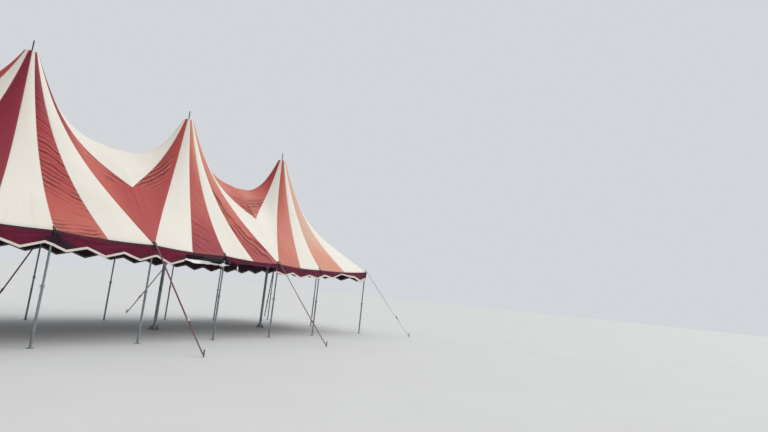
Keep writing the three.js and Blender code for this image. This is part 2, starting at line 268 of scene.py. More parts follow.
def valley_fall(share):
    """Share of the drop from ridge to eave along a valley: a hyperbola, rounded at the ridge."""
    full = math.hypot(1, SADDLE_ROUNDING) - SADDLE_ROUNDING
    return (np.hypot(share, SADDLE_ROUNDING) - SADDLE_ROUNDING) / full


def eave_dip(share):
    """Dip of the eave between two posts: a parabola, nothing at either post."""
    return 4 * EAVE_DIP * share * (1 - share)


def rim_shape(dx, dy, outward):
    """Shape of the cover for rim points seen from the king pole: height, slope and power.

    Along an eave the rim dips between posts, at an outer end it also rises to the corner, and
    along a valley it falls from the saddle to the eave on a hyperbola. The slope is a share of
    the rise to the peak. Slope and power blend by the square of the share along the eave or
    out to the row's end, and along a valley by the share's square and cube.
    """
    along_eave = np.abs(dy) > HALF_WIDTH - TINY
    share_x = np.minimum(1, np.abs(dx) / HALF_BAY)
    share_y = np.abs(dy) / HALF_WIDTH
    height = np.where(along_eave, EAVE - eave_dip(share_x), blend(SADDLE, EAVE, valley_fall(share_y)))
    slope = (EAVE - PEAK) * np.where(
        along_eave,
        blend(POLE_SLOPE, FOOT_SLOPE, share_x ** 2),
        FOOT_SLOPE * share_y ** 2 + SIDE_SLOPE * share_y * (1 - share_y),
    )
    power = np.where(
        along_eave,
        blend(POLE_POWER, FOOT_POWER, share_x ** 2),
        blend(SADDLE_POWER, FOOT_POWER, share_y ** 3),
    )
    reach = np.abs(dx) / END_REACH
    level = EAVE + CORNER_RISE * reach
    end_height = level - eave_dip(np.where(along_eave, reach, share_y))
    end_slope = (level - PEAK) * blend(POLE_SLOPE, END_SLOPE, reach ** 2)
    end_power = blend(POLE_POWER, END_POWER, reach ** 2)
    return (np.where(outward, end_height, height),
            np.where(outward, end_slope, slope),
            np.where(outward, end_power, power))


def faces_end(bay, dx):
    """True where a place beside a bay's pole lies towards the row's own end."""
    return ((bay == 0) & (dx < 0)) | ((bay == BAY_COUNT - 1) & (dx > 0))


def hang(height, slope, power, rest):
    """Height of the cover where rest is the share of the way left up to the ring.

    A straight line with the rim's slope, plus the rise that is left times a power of the share.
    """
    return height - slope * rest + (PEAK - height + slope) * rest ** power


# Round a bay, in quarter sides from its front left corner: where the rim turns, the seams, how
# many quarter sides there are, and which one has the middle of the right side. Then the grid:
# columns to a quarter side, rows, and the power that crowds the rows towards the ring.
RIM_TURNS = (0, 2, 4, 8, 10, 12, 16)
SEAMS = (0, 1, 2, 3, 4, 5, 7, 8, 9, 10, 11, 12, 13, 15, 16)
QUARTERS = 16
RIGHT_MIDDLE = 6
STRIPES = len(SEAMS) - 1
RIM_COLUMNS = 20
COVER_ROWS = 96
ROW_CROWDING = 1.15


def cover_grid(bay):
    """The plain cover of one bay as a grid, with its stripe number and share of the way down.

    Lines run from the ring to the rim. In plan each turns evenly on its way, from near even
    angles round the ring to its rim point. Its height is given by the function hang.
    """
    left = END_REACH if bay == 0 else HALF_BAY
    right = END_REACH if bay == BAY_COUNT - 1 else HALF_BAY
    turn = np.arange(QUARTERS * RIM_COLUMNS) / RIM_COLUMNS
    dx = np.interp(turn, RIM_TURNS, (-left, 0, right, right, 0, -left, -left))
    dy = np.interp(turn, RIM_TURNS, np.array((-1, -1, -1, 1, 1, 1, -1)) * HALF_WIDTH)
    outward = faces_end(bay, dx)
    share = (np.arange(COVER_ROWS + 1) / COVER_ROWS)[:, None] ** ROW_CROWDING
    rest = 1 - share
    angle = np.arctan2(dy, dx)
    lead = (turn - RIGHT_MIDDLE) * 2 * math.pi / QUARTERS - angle
    lead = (lead + math.pi) % (2 * math.pi) - math.pi
    angle = angle + SEAM_TURN * lead * rest * ~outward
    radius = np.hypot(dx, dy) * share + (RING_RADIUS + COVER_THICKNESS) * rest
    z = hang(*rim_shape(dx, dy, outward), rest)
    points = np.stack([POLE_X[bay] + radius * np.cos(angle), radius * np.sin(angle), z], axis=2)
    stripe = np.interp(turn, SEAMS, np.arange(STRIPES + 1))
    return points, stripe, share[:, 0]


def outward_normals(points):
    """Normals of a grid closed across its columns: the cross product of its two gradients."""
    down = np.gradient(points, axis=0)
    padded = np.concatenate([points[:, -1:], points, points[:, :1]], axis=1)
    beside = (padded[:, 2:] - padded[:, :-2]) / 2
    normal = np.cross(down, beside)
    return normal / np.linalg.norm(normal, axis=2, keepdims=True)


# Creases that the photograph shows, and like ones where it doesn't reach: bay, stripe, how far
# down they start and end in the middle of the panel, across from and to, slant in metres down
# per metre across, spacing down the panel and depth in metres. A crease climbs by a short step
# and falls by a long one, and with the spacing below zero the other way round.
CREASES = (
    (1, 2, 0.12, 0.42, -0.2, 1.3, 0.45, 0.15, 0.014),
    (1, 2, 0.32, 0.80, -0.3, 1.4, 0.62, 0.155, 0.032),
    (1, 2, 0.74, 0.94, 0.35, 1.4, 0.50, 0.17, 0.018),
    (1, 2, 0.86, 1.30, -0.3, 1.0, 0.02, -0.12, 0.038),
    (1, 4, 0.14, 0.38, 0.35, 1.4, 1.0, -0.42, 0.036),
    (1, 4, 0.42, 0.60, 0.40, 1.4, 1.1, -0.52, 0.040),
    (1, 4, 0.62, 0.84, 0.45, 1.4, 1.3, -0.56, 0.030),
    (2, 13, 0.20, 0.70, -0.4, 0.80, -1.5, -0.34, 0.036),
    (2, 13, 0.86, 1.04, -0.1, 0.6, -1.5, -0.50, 0.020),
    (2, 1, 0.30, 0.62, 0.3, 1.2, 0.8, 0.25, 0.008),
    (2, 1, 0.58, 1.16, -0.4, 0.70, 0.62, 0.24, 0.014),
    (2, 3, 0.44, 1.02, -0.4, 1.4, 3.3, -0.95, 0.070),
    (2, 3, 0.86, 1.14, 0.0, 0.8, 2.5, -0.60, 0.020),
    (2, 5, 0.80, 1.75, -0.4, 0.38, 4.0, -0.75, 0.045),
    (3, 12, 0.08, 0.44, 0.65, 1.5, -1.4, -0.22, 0.012),
    (3, 12, 0.76, 1.60, 0.55, 1.6, -4.4, -0.60, 0.045),
    (3, 0, 0.64, 0.97, 0.15, 0.95, 12.0, 1.7, 0.005),
    (3, 2, 0.70, 1.04, 0.2, 1.2, 2.0, 0.26, 0.008),
    (1, 0, 0.50, 1.02, 0.1, 0.9, -0.7, 0.24, 0.007),
    (0, 1, 0.40, 0.95, -0.1, 0.95, 0.8, 0.17, 0.013),
    (0, 3, 0.50, 0.95, -0.3, 1.3, 2.6, -0.45, 0.022),
    (0, 13, 0.45, 0.9, 0.1, 1.1, -0.8, 0.20, 0.011),
    (3, 6, 0.35, 0.8, -0.1, 0.9, 0.8, 0.17, 0.014),
    (0, 7, 0.40, 0.9, 0.1, 1.2, -0.8, 0.16, 0.014),
    (0, 9, 0.55, 1.02, -0.1, 0.9, 0.7, 0.24, 0.009),
    (1, 8, 0.30, 0.78, 0.1, 1.2, 0.75, 0.15, 0.016),
    (1, 10, 0.52, 0.95, -0.3, 1.3, -2.6, -0.45, 0.022),
    (2, 7, 0.30, 0.76, -0.1, 0.8, -0.6, -0.17, 0.015),
    (2, 9, 0.55, 0.98, -0.2, 1.2, 2.4, -0.45, 0.018),
    (3, 8, 0.45, 0.95, -0.1, 1.1, 0.8, 0.18, 0.012),
    (3, 10, 0.40, 0.9, 0.1, 0.9, -0.8, 0.17, 0.012),
)

# How far the red of a panel has faded, with its painted light and shade counted in, at its top,
# half way and at its foot: bay and stripe, and the three numbers. They are partly real fading and
# partly painted light: panels turned from the light are lower, and those turned to it higher. Deep
# red is 0, orange 1, and cloth bleached to sand is above 1. The panels that the photograph doesn't
# show have one usual set of numbers.
FADE_AND_LIGHT = {
    (1, 0): (0.04, 0.0, 0.12),
    (1, 2): (0.00, 0.36, 0.72),
    (1, 4): (-0.15, 0.62, 0.45),
    (1, 12): (0.55, 0.60, 0.50),
    (2, 13): (0.62, 0.46, 0.42),
    (2, 1): (0.95, 0.62, 0.18),
    (2, 3): (0.90, 0.76, 0.38),
    (2, 5): (0.75, 0.78, 0.70),
    (3, 12): (0.40, 0.74, 0.80),
    (3, 0): (0.80, 0.82, 0.78),
    (3, 2): (1.30, 1.36, 0.95),
    (3, 4): (0.85, 0.90, 0.80),
}
USUAL_FADE_AND_LIGHT = (0.30, 0.48, 0.42)


def crease_slope(across, width, crease):
    """How far down a crease has come at a place across: slant times the way from its middle."""
    first, last, slant = crease[2:5]
    middle = 0.5 * (max(first, 0) + min(last, 1))
    return slant * (across - middle) * width


def crease_line(across, down, width, crease, seed):
    """Number of the crease at each point, counted down the panel: whole on a crease's crest.

    The way down less that of the crease, over the spacing, bent by slow noise.
    """
    bend = CREASE_BEND * soft_noise(across * 2 + seed, down * 1.1, seed)
    return (down - crease_slope(across, width, crease)) / crease[5] + bend


def crease_fade(across, share, width, length, crease):
    """Depth of a patch of creases, which fades out over its four sides by eased steps.

    Its upper and lower side have the slant of the creases.
    """
    top, bottom, first, last = crease[:4]
    share = share - crease_slope(across, width, crease) / length
    down_patch = ease(share, top, top + 0.12) * (1 - ease(share, bottom - 0.1, bottom))
    return crease[6] * down_patch * ease(across, first, first + 0.2) * (1 - ease(across, last - 0.2, last))


def lengths(points):
    """Distance down each line of a grid, and from each of its columns to the next."""
    step = np.linalg.norm(np.diff(points, axis=0), axis=2)
    down = np.concatenate([np.zeros((1, points.shape[1])), np.cumsum(step, axis=0)])
    beside = np.linalg.norm(np.diff(points, axis=1, append=points[:, :1]), axis=2)
    return down, beside


def panel_at(stripe):
    """Number of the panel that each line lies on, and how far across it the line is."""
    seam = np.floor(stripe + TINY)
    return seam.astype(int) % STRIPES, stripe - seam


def panel_folds(bay, points, stripe, share):
    """Creases of one bay: crease number and depth for every face corner, and for every point.

    Each panel has its own corners, so two panels can differ at the seam that they share. Where
    patches overlap, each face has the deepest one's numbers, and its depth less the next one's.
    """
    down, beside = lengths(points)
    number, start = panel_at(stripe)
    step = np.diff(stripe, append=STRIPES)
    own = [(FIRST_CREASE_SEED + i, panel, crease)
           for i, (own_bay, panel, *crease) in enumerate(CREASES) if own_bay == bay]
    lines, depths = np.zeros((2, len(own), 2, *down.shape))
    for patch, (seed, panel, crease) in enumerate(own):
        there = number == panel
        width = beside[:, there].sum(axis=1, keepdims=True)
        for side, (across, place) in enumerate(((start, down), (start + step, np.roll(down, -1, axis=1)))):
            across, place = across[there][None, :], place[:, there]
            lines[patch, side][:, there] = crease_line(across, place, width, crease, seed)
            depths[patch, side][:, there] = crease_fade(across, share[:, None], width, place[-1:], crease)
    ranked = np.sort(depths, axis=0)
    depths = np.where(depths == ranked[-1], ranked[-1] - ranked[-2], 0)

    def deepest(line, depth):
        chosen = depth.sum(axis=1).argmax(axis=0)[None, None]
        return [np.take_along_axis(values, chosen, axis=0)[0] for values in (line, depth)]

    corners = [np.stack([values[:, 0, :-1], values[:, 0, 1:], values[:, 1, 1:], values[:, 1, :-1]], axis=1)
               for values in (lines, depths)]
    at_corners = np.stack(deepest(*corners), axis=-1)
    at_points = np.stack(deepest(lines[:, :1], depths[:, :1]), axis=-1)
    return at_corners.transpose(1, 2, 0, 3).reshape(-1, 4, 2), at_points[0]


def fade_and_light(bay, stripe, share):
    """How far the cloth has faded, with painted light and shade counted in: each red panel's three numbers,
    with eased steps between.

    A cream panel takes a straight blend of its two neighbours, which its colour doesn't show.
    """
    red = [panel for panel in range(STRIPES) if (panel + (bay in SWAPPED_BAYS)) % 2]
    own = np.repeat([FADE_AND_LIGHT.get((bay, panel), USUAL_FADE_AND_LIGHT) for panel in red], 2, axis=0)
    knots = np.repeat(red, 2) + np.tile((0, 1), len(red))
    top, middle, foot = (np.interp(stripe, knots, level, period=STRIPES) for level in own.T)
    share = share[:, None]
    return top + (middle - top) * ease(share, 0.08, 0.5) + (foot - middle) * ease(share, 0.5, 0.92)


def cover_relief(points, stripe, share, folds):
    """How far the cloth stands out from its plain form, in metres along its normal.

    Each panel swells a little between its seams, which pull in, the whole sheet is uneven by
    two sizes of noise, and a soft cosine wave lies under the creases of the panels that have
    them. The sharp creases themselves are in the material. Also gives the way to the seam.
    """
    down, beside = lengths(points)
    number, across = panel_at(stripe)
    across = across[None, :] + 0 * down
    width = np.zeros_like(down)
    for panel in range(STRIPES):
        own = number == panel
        width[:, own] = beside[:, own].sum(axis=1, keepdims=True)
    share = share[:, None]
    gap = np.minimum(across, 1 - across)
    swell = PANEL_SWELL * np.sin(np.pi * across) * ease(share, 0.02, 0.3) * (1 - ease(share, 0.86, 1))
    seam = -SEAM_PULL * np.exp(-(gap * width / SEAM_SPREAD) ** 2)
    x, y = points[..., 0], points[..., 1]
    uneven = (BROAD_UNEVEN * soft_noise(x * 0.9 + 9, y * 0.9 + 5, 3)
              + FINE_UNEVEN * soft_noise(x * 3, y * 3, 4))
    relief = swell + seam * ease(share, 0, 0.1) + uneven * ease(share, 0.02, 0.2)
    line, depth = folds[..., 0], folds[..., 1]
    relief -= 0.5 * depth * (0.5 + 0.5 * np.cos(np.pi * line)) ** 2 * ease(gap, 0, 0.08)
    return relief * (1 - ease(share, 0.95, 1)), gap * width


def cover_piece(bay, materials):
    """One bay of the cover, from its grid and relief, with stripes and seams in its UV map."""
    points, stripe, share = cover_grid(bay)
    down = lengths(points)[0]
    corner_folds, folds = panel_folds(bay, points, stripe, share)
    relief, gap = cover_relief(points, stripe, share, folds)
    points = points + outward_normals(points) * relief[..., None]
    rows, columns = down.shape
    faces = grid_faces(rows, columns, True)
    thing = make_mesh(f"striped_cover_{bay + 1}", points.reshape(-1, 3), [faces])
    column = faces % columns
    closing = (column == 0) & (faces[:, :1] % columns == columns - 1)
    u = np.where(closing, STRIPES, stripe[column]) + (bay in SWAPPED_BAYS)
    set_uv(thing, np.stack([u, down.ravel()[faces]], axis=2))
    set_uv(thing, corner_folds, "folds")
    set_values(thing, "from_seam", gap)
    # How far each point faces the painted light's direction, for the red's painted light and shade.
    set_values(thing, "faces_painted_light", outward_normals(points) @ PAINTED_LIGHT_DIRECTION)
    # Fading of the red, with its painted light and shade counted in.
    set_values(thing, "fade_and_light", fade_and_light(bay, stripe, share))
    set_values(thing, "height_share", share[:, None] + 0 * down)
    set_values(thing, "from_eave", eave_distance(points))
    thicken(thing, COVER_THICKNESS, -1)
    dress(thing, materials, "cover_fabric", f"cover_bay_{bay + 1}")


def eave_distance(points):
    """Plan distance from the nearer long eave, or from the row's end where that is nearer."""
    side = HALF_WIDTH - np.abs(points[..., 1])
    end = ROW_END - np.abs(points[..., 0])
    return np.minimum(side, end)


def cover_height(x, y):
    """Height of the plain cover over points in plan.

    The ray from the nearest pole through a point meets the rim where the larger of the two
    shares of the bay's half length and half width is one.
    """
    bay = np.clip(np.floor((x - POLE_X[0]) / BAY + 0.5), 0, BAY_COUNT - 1).astype(int)
    dx, dy = x - np.array(POLE_X)[bay], np.asarray(y, float)
    outward = faces_end(bay, dx)
    side = np.where(outward, END_REACH, HALF_BAY)
    part = np.maximum(np.maximum(np.abs(dx) / side, np.abs(dy) / HALF_WIDTH), TINY)
    reach = np.hypot(dx, dy) / part
    rest = np.clip(1 - (np.hypot(dx, dy) - RING_RADIUS) / (reach - RING_RADIUS), 0, 1)
    return hang(*rim_shape(dx / part, dy / part, outward), rest)


def body_faces(rows, columns, ring):
    """Faces of a body made of rows of points round it: its sides, and unless ring, two end caps."""
    faces = [grid_faces(rows, columns, True, ring)]
    if not ring:
        rim = np.arange(columns)[None, :]
        faces += [rim, rim[:, ::-1] + (rows - 1) * columns]
    return faces


def turned(profile, sides, place, ring=False):
    """A body turned about a vertical line, from (radius, height) pairs that run upwards.

    Each pair becomes a circle of points about the line. The two ends are closed by caps, or
    with ring true the last circle joins the first, as on a washer.
    """
    radius, height = np.array(profile, float).T[:, :, None]
    angle = -np.arange(sides) * 2 * np.pi / sides
    points = np.stack([
        place[0] + radius * np.cos(angle),
        place[1] + radius * np.sin(angle),
        place[2] + height + 0 * angle,
    ], axis=2).reshape(-1, 3)
    along = np.broadcast_to(height, (len(profile), sides))
    flat = np.stack([np.broadcast_to(-angle * radius.max(), along.shape), along], axis=2)
    return points, body_faces(len(profile), sides, ring), flat.reshape(-1, 2)


def swept(path, across, section, ring=False):
    """A closed section carried along a path, with its first axis along the across vectors.

    The second axis is the path's direction crossed with across. Each point is the path point
    plus the section's two coordinates times the two axes. Ends are capped, or joined on a ring.
    """
    path, section = np.array(path, float), np.array(section, float)[::-1]
    if ring:
        along = np.roll(path, -1, axis=0) - np.roll(path, 1, axis=0)
    else:
        along = np.gradient(path, axis=0)
    along /= np.linalg.norm(along, axis=1, keepdims=True)
    across = np.broadcast_to(np.array(across, float), path.shape)
    across = across - along * (across * along).sum(axis=1, keepdims=True)
    across = across / np.linalg.norm(across, axis=1, keepdims=True)
    upward = np.cross(along, across)
    points = (path[:, None] + section[None, :, :1] * across[:, None]
              + section[None, :, 1:] * upward[:, None])
    step = np.linalg.norm(np.diff(path, axis=0, prepend=path[:1]), axis=1)
    length = np.broadcast_to(np.cumsum(step)[:, None], points.shape[:2])
    flat = np.stack([np.broadcast_to(section[:, 0], length.shape), length], axis=2)
    return points.reshape(-1, 3), body_faces(*points.shape[:2], ring), flat.reshape(-1, 2)


def rounded_bar(width, height, radius, steps=2):
    """Section of a bar with round corners: a quarter circle at each of its four corners."""
    quarter = np.linspace(0, np.pi / 2, steps + 1)
    turn = np.concatenate([quarter + k * np.pi / 2 for k in range(4)])
    corner = np.repeat([[1, 1], [-1, 1], [-1, -1], [1, -1]], steps + 1, axis=0)
    middle = corner * (width / 2 - radius, height / 2 - radius)
    return middle + radius * np.stack([np.cos(turn), np.sin(turn)], axis=1)


def circle(radius, sides, first=(1, 0), second=(0, 1)):
    """Points at even angles on a circle, in the plane of two axes."""
    turn = (np.arange(sides) * 2 * np.pi / sides)[:, None]
    return radius * (np.cos(turn) * np.array(first) + np.sin(turn) * np.array(second))


def heading(turn):
    """Level vector of length one at an angle from the row's direction."""
    return np.array((math.cos(turn), math.sin(turn), 0))


def bolt(place, radius):
    """Head of a hexagonal bolt: six sides, a small bevel at its foot and a larger one on top."""
    profile = ((radius - 0.0005, 0), (radius, 0.002), (radius, 0.010), (radius - 0.0025, 0.012))
    return turned(profile, 6, place)


def moved(part, axes, place):
    """A part made at the origin, with its three axes laid along the given ones, at a place."""
    points, faces, flat = part
    return points @ np.array(axes, float) + np.array(place, float), faces, flat


def assembled(name, parts):
    """One mesh object from (part, material number) pairs, with sharp edges where faces turn far."""
    blocks, finish, flats, points, start = [], [], [], [], 0
    for (own, faces, flat), number in parts:
        for block in faces:
            blocks.append(block + start)
            finish.append(np.full(len(block), number))
            flats.append(flat[block].reshape(-1, 2))
        points.append(own)
        start += len(own)
    thing = make_mesh(name, np.concatenate(points), blocks)
    thing.data.polygons.foreach_set("material_index", np.concatenate(finish))
    set_uv(thing, np.concatenate(flats))
    thing.data.set_sharp_from_angle(angle=math.radians(SHARP_ANGLE))
    return thing


def long_side_top(x):
    """Height of the eave along a long side: dips between posts, and rises to the corners."""
    x = np.minimum(np.abs(x), ROW_END)
    beyond = (x - (ROW_END - END_REACH)) / END_REACH
    inner = EAVE - eave_dip((x / HALF_BAY) % 1)
    return np.where(beyond > 0, EAVE + CORNER_RISE * beyond - eave_dip(beyond), inner)


def end_top(y):
    """Height of the eave along an end, which dips between the corners and the middle post."""
    return EAVE + CORNER_RISE - eave_dip(np.minimum(np.abs(y) / HALF_WIDTH, 1))


def zigzag_edge(half, count, shift):
    """Lower edge of a whole valance: a triangle wave between the short and the long depth."""
    step = 2 * half / count
    knots = np.arange(-1, 2 * count + 1)
    place = -half + shift + knots * step / 2
    depth = np.where(knots % 2 == 0, VALANCE_SHORT, VALANCE_LONG)
    inside = np.concatenate([[-half], place[(place > -half) & (place < half)], [half]])
    return inside, np.interp(inside, place, depth)


# Lower edge of the front valance from the tear to the corner: place, depth and the width of
# its binding. The torn stretch keeps only its hem and then a strip, with two shreds that hang.
FRONT_TEAR = (
    (0.981, 0.268, 0.056), (0.987, 0.221, 0.006), (1.003, 0.206, 0.004), (1.010, 0.127, 0.004),
    (1.027, 0.115, 0.004), (1.038, 0.058, 0.004), (1.309, 0.055, 0.004), (1.398, 0.070, 0.004),
    (1.565, 0.058, 0.004), (1.881, 0.065, 0.004), (2.029, 0.057, 0.004), (2.276, 0.069, 0.004),
    (2.413, 0.060, 0.004), (2.591, 0.070, 0.004), (2.616, 0.105, 0.004), (2.631, 0.120, 0.004),
    (2.644, 0.204, 0.004), (2.657, 0.266, 0.004), (2.685, 0.272, 0.004), (2.693, 0.155, 0.004),
    (2.710, 0.118, 0.004), (2.957, 0.124, 0.004), (2.980, 0.215, 0.004), (2.989, 0.241, 0.004),
    (2.993, 0.245, 0.004), (3.001, 0.418, 0.175), (3.033, 0.433, 0.185), (3.048, 0.403, 0.150),
    (3.051, 0.245, 0.004), (3.059, 0.176, 0.004), (3.076, 0.124, 0.004), (3.461, 0.120, 0.004),
    (3.856, 0.127, 0.004), (4.251, 0.118, 0.004), (4.646, 0.125, 0.004), (4.848, 0.122, 0.004),
    (4.862, 0.208, 0.050), (4.870, 0.287, 0.056), (5.341, 0.359, 0.056), (5.784, 0.240, 0.056),
    (6.280, 0.364, 0.056), (6.792, 0.240, 0.056), (7.337, 0.334, 0.056), (7.789, 0.212, 0.070),
    (8.353, 0.279, 0.056), (9.001, 0.093, 0.045), (9.774, 0.202, 0.070), (10.041, 0.215, 0.075),
    (10.570, 0.430, 0.110), (10.825, 0.390, 0.130), (11.072, 0.345, 0.120),
)


# The loose binding's middle line: place, way below the eave, and stand from the eave's plane.
RIBBON_LINE = (
    (0.970, 0.242, 0.018), (1.025, 0.239, 0.016), (1.33, 0.274, 0.010), (1.75, 0.260, 0.002),
    (2.18, 0.283, -0.006), (2.43, 0.270, -0.012), (2.50, 0.268, -0.012), (2.675, 0.264, 0.006),
)


def front_edge(half):
    """Lower edge of the front valance, with the torn and hitched-up stretch."""
    place, depth = zigzag_edge(half, VALANCE_POINTS, VALANCE_SHIFT)
    kept = place < FRONT_TEAR[0][0]
    return np.concatenate([whole((place[kept], depth[kept])), np.array(FRONT_TEAR).T], axis=1)


# Rows of a valance: shares of the way from the eave to the binding, then across the binding.
VALANCE_ROWS = 12
BINDING_ROWS = (0.0, 0.04, 0.5, 0.94, 1.0)


def valance_relief(place, down, depth, binding, posts, seed):
    """How far a valance stands out from its plain hang.

    It swings as a whole on slow noise and waves on quicker noise, both growing downwards, its
    points curl a little, and at each post it is drawn in, with creases like rays round it.
    """
    share = down / VALANCE_LONG
    swing = 0.016 * share * soft_noise(place * 0.55 + seed, 0 * place, seed)
    fold = 0.014 * share ** 1.3 * soft_noise(place * 3.1, down * 1.2, seed + 1)
    ripple = 0.004 * ease(share, 0.1, 0.5) * soft_noise(place * 11, down * 4, seed + 2)
    curl = 0.012 * ease(share, 0.75, 1.0) * soft_noise(place * 1.07 + 3, 0 * place, seed + 3)
    signed = place - posts[np.abs(place[..., None] - posts).argmin(axis=-1)]
    angle = np.arctan2(signed, down + 0.02)
    rays = 0.010 * np.cos(9 * angle) * ease(down, 0.02, 0.1) * np.exp(-(np.hypot(signed, down) / 0.28) ** 2)
    pinch = -0.006 * np.exp(-(signed / 0.06) ** 2) * ease(down, 0, 0.05)
    over = down - (depth - binding)
    band = 0.0022 * ease(over, 0, 0.003)
    pucker = 0.0012 * np.cos(place * 2 * np.pi / 0.055) * ease(over, -0.02, 0.01)
    stand = VALANCE_STAND + 0.02 * share + swing + fold + ripple + curl + rays + pinch + band + pucker
    return np.maximum(stand, LEAST_STAND + band)


def whole(edge):
    """Edge of a whole valance, bound all along: place, depth and binding width."""
    place, depth = edge
    return np.stack([place, depth, np.full(len(place), BINDING_WIDTH)])


# Painted shadow in the folds under posts: the side of the row, place along it, lean and spread per metre.
FOLD_SHADOW_PLACES = (
    ((0, -1), -2.5, 0.45, 1.50), ((0, -1), 5.0, -0.10, 0.20), ((0, -1), -7.5, 0.10, 0.50),
    ((0, 1), -5.0, 0.30, 0.90), ((0, 1), 2.5, -0.20, 0.50), ((-1, 0), 0.0, 0.1, 0.50),
)


def fold_shadow_strength(outward, place, down):
    """Strength of the painted shadow in the folds: one under each named post, wider downwards, with soft
    sides.
    """
    strength = np.zeros_like(down)
    for side, post, lean, spread in FOLD_SHADOW_PLACES:
        off = np.abs(place - post - lean * down) / (0.02 + spread * down)
        strength += (side == outward) * (1 - ease(off, 0.45, 1.25)) * 0.85
    return strength


def cloth_values(thing, down, into_binding, binding, fold_shadow):
    """Writes what the valance's cloth reads: way down, way into the binding, its width, and its painted fold
    shadow.
    """
    for name, values in (("from_top", down), ("into_binding", into_binding),
                         ("binding_width", binding), ("fold_shadow", fold_shadow)):
        set_values(thing, name, np.broadcast_to(values, fold_shadow.shape))


def valance_piece(name, half, edge, top_at, posts, outward, materials, node, seed):
    """A valance on a grid of places along the eave by rows down.

    Rows run from the eave to the lower edge, and each point stands off the eave's plane by the
    relief, which comes to one even value at the corners so that two valances meet there. A
    first row laps over the rim of the cover.
    """
    nx, ny = outward
    spread = np.linspace(-half, half, int(2 * half / VALANCE_COLUMN) + 1)
    place = np.unique(np.round(np.concatenate([spread, edge[0]]), 4))
    depth = np.interp(place, edge[0], edge[1])
    binding = np.minimum(np.interp(place, edge[0], edge[2]), 0.75 * depth)
    if ny > 0 or nx < 0:
        place, depth, binding = place[::-1], depth[::-1], binding[::-1]
    upper = np.linspace(0, 1, VALANCE_ROWS + 1)[:, None] * (depth - binding)
    lower = depth - binding + np.array(BINDING_ROWS)[1:, None] * binding
    down = np.concatenate([upper, lower])
    spot = np.broadcast_to(place, down.shape)
    stand = valance_relief(spot, down, depth, binding, np.array(posts), seed)
    inside = ease(half - np.abs(spot), 0, 0.2)
    stand = VALANCE_STAND + (stand - VALANCE_STAND) * inside
    lap = VALANCE_STAND + HEM_LAP
    spot = np.concatenate([spot[:1] * (1 - lap / half), spot])
    stand = np.concatenate([stand[:1] - lap, stand])
    down = np.concatenate([down[:1] - 1.5 * HEM_LAP, down])
    reach = (HALF_WIDTH if ny else ROW_END) + stand
    points = np.stack([
        nx * reach + abs(ny) * spot,
        ny * reach + abs(nx) * spot,
        top_at(spot) - down,
    ], axis=2)
    faces = grid_faces(*down.shape, False)
    thing = make_mesh(name, points.reshape(-1, 3), [faces])
    set_uv(thing, np.stack([spot.ravel()[faces], down.ravel()[faces]], axis=2))
    cloth_values(thing, down, down - (depth - binding), binding, fold_shadow_strength(outward, spot, down))
    thicken(thing, VALANCE_THICKNESS, -1)
    dress(thing, materials, "valance_fabric", node)


# Profiles of turned pieces, as radius and height. A post's head and pin count from the eave, and
# a king pole's sleeve counts both ways from the joint that it covers.
POST_FOOT = (
    (0.072, 0.0), (0.075, 0.002), (0.075, 0.008), (0.073, 0.010), (0.037, 0.0105), (0.031, 0.013),
    (0.028, 0.019), (0.028, 1.262), (0.033, 1.266), (0.034, 1.270), (0.034, 1.334),
    (0.0325, 1.338), (0.0245, 1.340), (0.0240, 1.344),
)
POST_HEAD = (
    (0.0245, -0.125), (0.035, -0.123), (0.0375, -0.117), (0.0375, -0.05), (0.035, -0.036),
    (0.028, -0.031), (0.012, -0.030),
)
POST_PIN = ((0.0085, -0.035), (0.0085, 0.118), (0.0075, 0.123), (0.004, PIN_ABOVE_EAVE))
KING_FOOT = (
    (0.176, 0.0), (0.18, 0.003), (0.18, 0.011), (0.177, 0.014), (0.062, 0.0145), (0.054, 0.018),
    (0.05, 0.027),
)
KING_SLEEVE = ((0.05, 0.2), (0.0555, 0.195), (0.0565, 0.185), (0.0565, 0.003), (0.0552, 0.001))
EYE_PLATE = (
    (0.0086, -0.0035), (0.026, -0.0035), (0.0275, -0.002), (0.0275, 0.002), (0.026, 0.0035),
    (0.0086, 0.0035),
)
STAKE = (
    (0.0155, 0.0), (0.016, 0.003), (0.016, 0.150), (0.0185, 0.155), (0.0235, 0.157),
    (0.0255, 0.161), (0.026, 0.166), (0.0235, 0.1695), (0.012, 0.171),
)
# Where posts and king poles slide together, the gusset's outline, and the ring's measures.
LOCKING_PIN_HEIGHT = 1.302
LOCKING_PIN_TURN = 0.6
KING_JOINTS = (2.42, 4.84)
KING_GUSSET = ((0.046, 0.0), (0.15, 0.0), (0.15, 0.012), (0.066, 0.13), (0.046, 0.13))
RING_WALL = 0.015
RING_BOLT_REACH = 0.09
# Guys: sag, and the shares of the length where the strap lies double. Then a ratchet's bars
# across the strap, which are two side plates with wheels, the rolled strap on its spindle, and
# the grip: place, height, middle, half length, section and material number. Last, its handle.
GUY_SAG = 0.03
GUY_DOUBLED = ((0.0, 0.045), (0.725, 0.80), (0.94, 1.0))
RATCHET_SIDE, RATCHET_WHEEL = rounded_bar(0.15, 0.03, 0.012), circle(0.02, 12)
RATCHET_BARS = (
    (0.0, 0.010, -0.031, 0.0015, RATCHET_SIDE, 1), (0.02, 0.012, -0.0265, 0.0015, RATCHET_WHEEL, 1),
    (0.0, 0.010, 0.031, 0.0015, RATCHET_SIDE, 1), (0.02, 0.012, 0.0265, 0.0015, RATCHET_WHEEL, 1),
    (0.02, 0.012, 0.0, 0.0245, circle(0.0165, 18), 0), (0.02, 0.012, 0.0, 0.036, circle(0.0085, 12), 1),
    (-0.084, 0.0265, 0.0, 0.031, circle(0.0075, 10), 1),
)
RATCHET_HANDLE = ((0.015, 0, 0.030), (-0.02, 0, 0.033), (-0.06, 0, 0.031), (-0.082, 0, 0.027))


